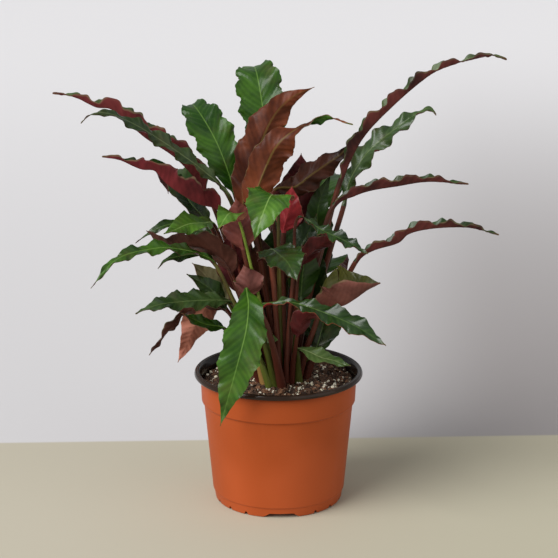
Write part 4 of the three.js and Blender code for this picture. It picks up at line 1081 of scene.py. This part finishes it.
STALK_TONES = {
    "maroon": (srgb(52, 24, 16), srgb(106, 52, 36), srgb(82, 38, 26)),
    "red": (srgb(76, 26, 20), srgb(120, 54, 40), srgb(58, 26, 16)),
    "olive": (srgb(58, 50, 18), srgb(106, 98, 46), srgb(66, 78, 22)),
    "dry": (srgb(132, 98, 52), srgb(190, 152, 92), srgb(150, 112, 62)),
    "green": (srgb(84, 108, 30), srgb(136, 156, 62), srgb(84, 86, 34)),
}
# finish and size of the sheaths that stand out among the stalk bases
SPECIAL_SHEATHS = {"leaf_left_long": ("green", 2.2), "leaf_left_low_broad": ("dry", 1.5)}
RIB_UNDER = srgb(112, 92, 46)
RIM_GREEN = srgb(142, 160, 112)
DRY_TIP = srgb(96, 70, 40)
BRUISE = srgb(84, 66, 38)


def blade_material(name, tones, *, rib, rib_width, rim, rim_share, roughness, gloss, sheen, bruise_and_valley_shade):
    """One side of a blade: side veins as pleats with painted shade in their valleys, a midrib, a paler rim
    and a dry tip.
    """
    deep, light, line = tones
    looks = Looks(name)
    vein, edge = looks.sheet("veins")
    along, width = looks.sheet("reach")
    turn = looks.math("MULTIPLY", vein, 2 * math.pi)
    pleat = looks.math("COSINE", turn)
    fine = looks.math("COSINE", looks.math("MULTIPLY", turn, 5.0))
    mottle = looks.noise(26.0, 4.0)
    cells = looks.noise(1500.0, 2.0)

    # green or burgundy ground with painted shade, lighter on the pleats' ridges and darker in their valleys,
    # with bruises and fine veins
    ground = looks.span(mottle, 0.32, 0.68, 0.0, 0.95)
    # painted shade: a little lighter on the ridges, darker in the valleys
    shade = looks.math("ADD", looks.math("MULTIPLY", pleat, 0.04), ground)
    base = looks.mix(looks.math("MAXIMUM", looks.math("MINIMUM", shade, 1.0), 0.0), deep, light)
    # painted shade in the valleys between the side veins, deepened by the bruise setting as well
    base = looks.mix(looks.span(pleat, -1.0, -0.1, 0.06 + 0.5 * bruise_and_valley_shade, 0.0), base, deep)
    base = looks.mix(looks.span(looks.noise(38.0, 3.0), 0.5, 0.74, 0, bruise_and_valley_shade), base, BRUISE)
    base = looks.mix(looks.span(pleat, 0.9, 1.0, 0, 0.08), base, line)
    base = looks.mix(looks.span(fine, 0.7, 1.0, 0, 0.05), base, line)

    # midrib, rim and tip
    off_rib = looks.math("MULTIPLY", looks.math("SUBTRACT", width, 0.5), UV_WIDTH)
    at_rib = looks.span(looks.math("ABSOLUTE", off_rib), 0.3 * rib_width, rib_width, 1.0, 0)
    base = looks.mix(looks.math("MULTIPLY", at_rib, looks.span(along, 0.2, 1, 0.7, 0.2)), base, rib)
    patches = looks.span(looks.noise(70.0, 2.0), 0.46, 0.6, 0.15 * rim_share, rim_share)
    at_rim = looks.span(looks.math("ABSOLUTE", edge), 0.955, 1.0, 0, 1.0)
    base = looks.mix(looks.math("MULTIPLY", at_rim, patches), base, rim)
    base = looks.mix(looks.span(along, 0.95, 1.0, 0, 0.6), base, DRY_TIP)

    polish = looks.span(mottle, 0.3, 0.75, roughness - 0.04, roughness + 0.08)
    looks.set(Base_Color=base, Roughness=polish, Specular_IOR_Level=gloss)
    if sheen:
        looks.set(Sheen_Weight=sheen, Sheen_Roughness=0.35, Sheen_Tint=(*light, 1.0))
    height = looks.math("ADD", looks.math("MULTIPLY", pleat, -0.5), looks.math("MULTIPLY", fine, -0.12))
    height = looks.math("ADD", height, looks.math("MULTIPLY", cells, 0.25))
    looks.bump(height, 0.22, 0.0004)
    return looks.material


def stalk_material(name, tones):
    """Fine streaks along the stalk, with a tone of its own near the mix."""
    low, high, foot = tones
    looks = Looks(name)
    runs = looks.noise(240.0, 3.0, stretch=(1.0, 1.0, 0.08))
    patch = looks.noise(28.0, 2.0)
    height = looks.parts(looks.place())[2]
    base = looks.mix(looks.span(patch, 0.3, 0.7), low, high)
    base = looks.mix(looks.span(height, 0.15, 0.24, 0.8, 0), base, foot)
    base = looks.mix(looks.span(runs, 0.5, 0.75, 0, 0.5), base, low)
    looks.set(Base_Color=base, Roughness=0.42, Specular_IOR_Level=0.3)
    looks.bump(runs, 0.35, 0.0005)
    return looks.material


def leaf_materials():
    """One finish for each tone, shared by the leaves that have it."""
    made = {}
    for name, tones in UPPER_TONES.items():
        # the bruise setting also deepens the painted shade in the pleats' valleys
        made[name] = blade_material(
            f"upper_{name}", tones, rib=tones[2], rib_width=0.8, rim=tones[2], rim_share=0.15,
            roughness=0.3, gloss=0.4 if name in ("deep", "dusk") else 0.27, sheen=0.0, bruise_and_valley_shade=0.3,
        )
    for name, tones in UNDER_TONES.items():
        rib = RIB_UNDER if name in ("copper", "dark") else tones[2]
        made[name] = blade_material(
            f"under_{name}", tones, rib=rib, rib_width=1.4, rim=RIM_GREEN, rim_share=0.2,
            roughness=0.44, gloss=0.18, sheen=0.05, bruise_and_valley_shade=0.0,
        )
    for name, tones in STALK_TONES.items():
        made[f"stalk_{name}"] = stalk_material(f"stalk_{name}", tones)
    return made


def make_leaves(settings):
    """Every leaf of the table, with the finishes of its upper side, underside and stalk."""
    finishes = leaf_materials()
    for facts in LEAVES:
        piece = leaf_mesh(facts, settings)
        upper, under, stalk = facts["tones"].split()
        for key in (upper, under, f"stalk_{stalk}"):
            piece.data.materials.append(finishes[key])
        smooth(piece, 60)
        keep_piece(piece, facts["name"] + "_fine", node=facts["name"])


# ---------------------------------------------------------------- sheaths and hairs
def between(values, place):
    """A value between two steps of a path."""
    i = min(int(place), len(values) - 2)
    return values[i] + (values[i + 1] - values[i]) * (place - i)


def sheath_rings(facts, settings, size, rng):
    """Rings of one sleeve, from under the mix up to its slanting top and in to the stalk."""
    path, blade_start, length = leaf_path(facts)
    tangents, normals = path_frames(facts, path, blade_start)
    room = SHEATH_REACH * blade_start * length / PATH_STEPS
    tallest = min(settings.height / MM * rng.uniform(0.45, 1.0), room)
    flare = settings.flare / MM * rng.uniform(0.5, 1.0) * size
    high_side = rng.uniform(0, 2 * math.pi)
    rings = np.zeros((SHEATH_ROWS + 3, SHEATH_SIDES, 3))
    for column in range(SHEATH_SIDES):
        angle = 2 * math.pi * column / SHEATH_SIDES
        top = tallest * (1 - SHEATH_SLANT + SHEATH_SLANT * math.cos(angle - high_side))
        for row in range(SHEATH_ROWS + 1):
            share = row / SHEATH_ROWS
            place = top * share * PATH_STEPS / length
            normal, tangent = between(normals, place), between(tangents, place)
            outward = math.cos(angle) * np.cross(tangent, normal) + math.sin(angle) * normal
            stalk = stalk_radius(facts, place / blade_start)
            centre = between(path, place)
            stand_off = SHEATH_SKIN + flare * (1 - share) ** 1.2
            rings[row + 1, column] = centre + outward * (stalk + stand_off)
        rings[-1, column] = centre + outward * (stalk - SHEATH_SKIN)
        rings[0, column] = rings[1, column] - (0, 0, SHEATH_DEPTH)
    return rings


def make_sheaths(settings):
    """Sleeves round the stalk bases, flared at the mix and cut slantwise at the top."""
    rng = random.Random(settings.seed)
    sleeves = []
    for facts in LEAVES:
        finish, size = SPECIAL_SHEATHS.get(facts["name"], (facts["tones"].split()[2], 1.0))
        sleeve = rolled_grid(sheath_rings(facts, settings, size, rng) * MM)
        close_skin()
        sleeve.data.materials.append(bpy.data.materials[f"stalk_{finish}"])
        sleeves.append(sleeve)
    select_only(*sleeves)
    bpy.ops.object.join()
    piece = bpy.context.object
    smooth(piece, 50)
    keep_piece(piece, "stalk_sheaths")


def hair_material():
    looks = Looks("hairs")
    shade = looks.noise(60.0, 2.0)
    base = looks.mix(looks.span(shade, 0.35, 0.65), srgb(84, 44, 30), srgb(150, 120, 84))
    looks.set(Base_Color=base, Roughness=0.6)
    return looks.material


def make_hairs(settings):
    """Short upright hairs on the stalks, each a slim closed spike, all in one piece."""
    rng = random.Random(settings.seed)
    points, faces = [], []
    for facts in LEAVES:
        path, blade_start, _ = leaf_path(facts)
        tangents, normals = path_frames(facts, path, blade_start)
        for _ in range(settings.hairs):
            step = rng.randrange(HAIR_FIRST_STEP, blade_start)
            angle = rng.uniform(0, 2 * math.pi)
            tangent, normal = tangents[step], normals[step]
            outward = math.cos(angle) * np.cross(tangent, normal) + math.sin(angle) * normal
            half = HAIR_THICKNESS / 2 * np.cross(outward, tangent)
            root = path[step] + outward * (stalk_radius(facts, step / blade_start) - HAIR_SEAT)
            tip = root + (outward + HAIR_LEAN * tangent) * settings.length / MM * rng.uniform(0.5, 1.0)
            a = len(points)
            points += [root + half, root - half, root + HAIR_THICKNESS * tangent, tip]
            faces += [[a, a + 2, a + 1], [a, a + 1, a + 3], [a + 1, a + 2, a + 3], [a + 2, a, a + 3]]
    piece = linked_piece("stalk_hairs", points, faces, hair_material())
    select_only(piece)
    bpy.ops.object.mode_set(mode="EDIT")
    bpy.ops.mesh.select_all(action="SELECT")
    bpy.ops.mesh.normals_make_consistent(inside=False)
    bpy.ops.object.mode_set(mode="OBJECT")
    keep_piece(piece, "stalk_hairs")


# ---------------------------------------------------------------- stage
def stage_material():
    """A beige table in front that meets a pale grey ground behind the pot, in metres, with painted shade to
    the right on both and a painted shadow on the table by the border.
    """
    looks = Looks("pale_stage_painted_shade")
    across, away, _ = looks.parts(looks.place())
    slanted = looks.math("SUBTRACT", across, looks.math("MULTIPLY", away, 0.1))
    # painted shade: how strongly the painted shade darkens table and ground, growing towards the right
    painted_shade_right = looks.span(slanted, -0.08, 0.25, 0.26, 1.0)
    # the table a touch darker to the right: painted shade
    table = looks.mix(looks.span(across, -0.25, 0.25), srgb(190, 183, 165), srgb(182, 176, 155))
    # painted shadow of the plant on the table near the border, on the right
    painted_shadow_near_border = looks.math("MULTIPLY", looks.span(away, -0.09, 0.15, 0.0, 0.15), painted_shade_right)
    table = looks.mix(painted_shadow_near_border, table, srgb(140, 128, 112))
    table = looks.mix(looks.span(looks.noise(3.0, 3.0), 0.3, 0.7, 0, 0.04), table, srgb(160, 150, 130))
    # painted shade on the ground, strongest near the border and to the right, fading far away
    fade = looks.span(away, 0.15, 4.2, 1.0, 0.0)
    shade = looks.math("MULTIPLY", looks.math("MULTIPLY", fade, fade), 0.72)
    shade = looks.math("MULTIPLY", shade, painted_shade_right)
    ground = looks.mix(shade, srgb(221, 219, 220), srgb(104, 94, 90))
    border = looks.math("SUBTRACT", away, looks.math("MULTIPLY", across, 0.04))
    base = looks.mix(looks.span(border, 0.150, 0.156), table, ground)
    looks.set(Base_Color=base, Roughness=0.8, Specular_IOR_Level=0.2)
    return looks.material


def make_stage(settings):
    """The table, the camera in front of it, two soft suns and the room's light."""
    scene = bpy.context.scene
    deselect_all()
    bpy.ops.mesh.primitive_plane_add(size=60, location=(0, 0, -0.2 * MM))
    floor = bpy.context.object
    floor.name = "table_top"
    bpy.ops.object.transform_apply(location=True)
    floor.data.materials.append(stage_material())
    camera = bpy.data.cameras.new("front_camera")
    camera.lens = settings.lens
    camera.sensor_width = 36.0
    eye = bpy.data.objects.new("front_camera", camera)
    eye.location = (0.5 * MM, -settings.camera_distance, settings.camera_height)
    eye.rotation_euler = (math.pi / 2 - settings.camera_pitch, 0, 0)
    scene.collection.objects.link(eye)
    scene.camera = eye
    for name, toward, strength, spread in (
        ("window_light", (-0.65, -0.47, 0.64), 3.4, 46),
        ("room_light", (0.75, -0.6, 0.4), 0.45, 60),
    ):
        sun = bpy.data.lights.new(name, "SUN")
        sun.energy = strength
        sun.angle = math.radians(spread)
        holder = bpy.data.objects.new(name, sun)
        holder.location = Vector(toward) * 2
        holder.rotation_euler = Vector(toward).to_track_quat("Z", "Y").to_euler()
        scene.collection.objects.link(holder)
    world = bpy.data.worlds.new("soft_room")
    world.use_nodes = True
    background = world.node_tree.nodes["Background"]
    background.inputs["Color"].default_value = (0.96, 0.98, 1.0, 1)
    background.inputs["Strength"].default_value = 0.4
    scene.world = world
    scene.view_settings.view_transform = "Standard"


# ---------------------------------------------------------------- operators and panel
class CALATHEA_OT_pot(bpy.types.Operator):
    """Make the nursery pot"""

    bl_idname = "calathea.pot"
    bl_label = "Pot"

    def execute(self, context):
        make_pot(context.scene.calathea_pot)
        return {"FINISHED"}


class CALATHEA_OT_mix(bpy.types.Operator):
    """Make the potting mix with its perlite, bark and crumbs"""

    bl_idname = "calathea.mix"
    bl_label = "Potting mix"

    def execute(self, context):
        settings = context.scene.calathea_mix
        rng = random.Random(settings.seed)
        make_mix()
        pale = grain_material("perlite", srgb(204, 192, 158), srgb(246, 242, 228), 0.85)
        chip = grain_material("bark", srgb(66, 40, 26), srgb(158, 112, 78), 0.8)
        dark = grain_material("dark_crumbs", srgb(30, 19, 13), srgb(116, 84, 62), 0.95)
        scatter("perlite_grains", settings.perlite, pale, rng, sizes=(0.6, 2.3), squash=(0.6, 0.95),
                sink=0.3, clump=0.3)
        scatter("bark_chips", settings.bark, chip, rng, sizes=(1.2, 3.8), squash=(0.25, 0.5),
                sink=0.15, jag=0.3, sides=(5, 3))
        scatter("mix_crumbs", settings.crumbs, dark, rng, sizes=(0.6, 2.7), squash=(0.5, 0.95),
                sink=0.1, jag=0.35, sides=(5, 3))
        return {"FINISHED"}


class CALATHEA_OT_leaves(bpy.types.Operator):
    """Make every leaf with its stalk"""

    bl_idname = "calathea.leaves"
    bl_label = "Leaves"

    def execute(self, context):
        make_leaves(context.scene.calathea_leaf)
        return {"FINISHED"}


class CALATHEA_OT_sheaths(bpy.types.Operator):
    """Wrap the stalk bases in their sheaths"""

    bl_idname = "calathea.sheaths"
    bl_label = "Stalk sheaths"

    def execute(self, context):
        make_sheaths(context.scene.calathea_sheath)
        return {"FINISHED"}


class CALATHEA_OT_hairs(bpy.types.Operator):
    """Set fine hairs on the stalks"""

    bl_idname = "calathea.hairs"
    bl_label = "Stalk hairs"

    def execute(self, context):
        make_hairs(context.scene.calathea_hair)
        return {"FINISHED"}


class CALATHEA_OT_stage(bpy.types.Operator):
    """Set the table, the camera and the lights"""

    bl_idname = "calathea.stage"
    bl_label = "Stage"

    def execute(self, context):
        make_stage(context.scene.calathea_stage)
        return {"FINISHED"}


class CALATHEA_PT_panel(bpy.types.Panel):
    bl_label = "Calathea"
    bl_idname = "CALATHEA_PT_panel"
    bl_space_type = "VIEW_3D"
    bl_region_type = "UI"
    bl_category = "Calathea"

    def draw(self, context):
        for name, group, operator in STEPS:
            box = self.layout.box()
            for key in group.__annotations__:
                box.prop(getattr(context.scene, name), key)
            box.operator(operator.bl_idname)


# in the order in which the pieces are made: scene property, its settings and the operator
STEPS = (
    ("calathea_stage", CalatheaStageSettings, CALATHEA_OT_stage),
    ("calathea_pot", CalatheaPotSettings, CALATHEA_OT_pot),
    ("calathea_mix", CalatheaMixSettings, CALATHEA_OT_mix),
    ("calathea_leaf", CalatheaLeafSettings, CALATHEA_OT_leaves),
    ("calathea_sheath", CalatheaSheathSettings, CALATHEA_OT_sheaths),
    ("calathea_hair", CalatheaHairSettings, CALATHEA_OT_hairs),
)


def register():
    for name, group, operator in STEPS:
        bpy.utils.register_class(group)
        setattr(bpy.types.Scene, name, PointerProperty(type=group))
        bpy.utils.register_class(operator)
    bpy.utils.register_class(CALATHEA_PT_panel)


def unregister():
    bpy.utils.unregister_class(CALATHEA_PT_panel)
    for name, group, operator in reversed(STEPS):
        bpy.utils.unregister_class(operator)
        delattr(bpy.types.Scene, name)
        bpy.utils.unregister_class(group)


def main():
    register()
    bpy.ops.calathea.stage()
    bpy.ops.calathea.pot()
    bpy.ops.calathea.mix()
    bpy.ops.calathea.leaves()
    bpy.ops.calathea.sheaths()
    bpy.ops.calathea.hairs()


if __name__ == "__main__":
    main()
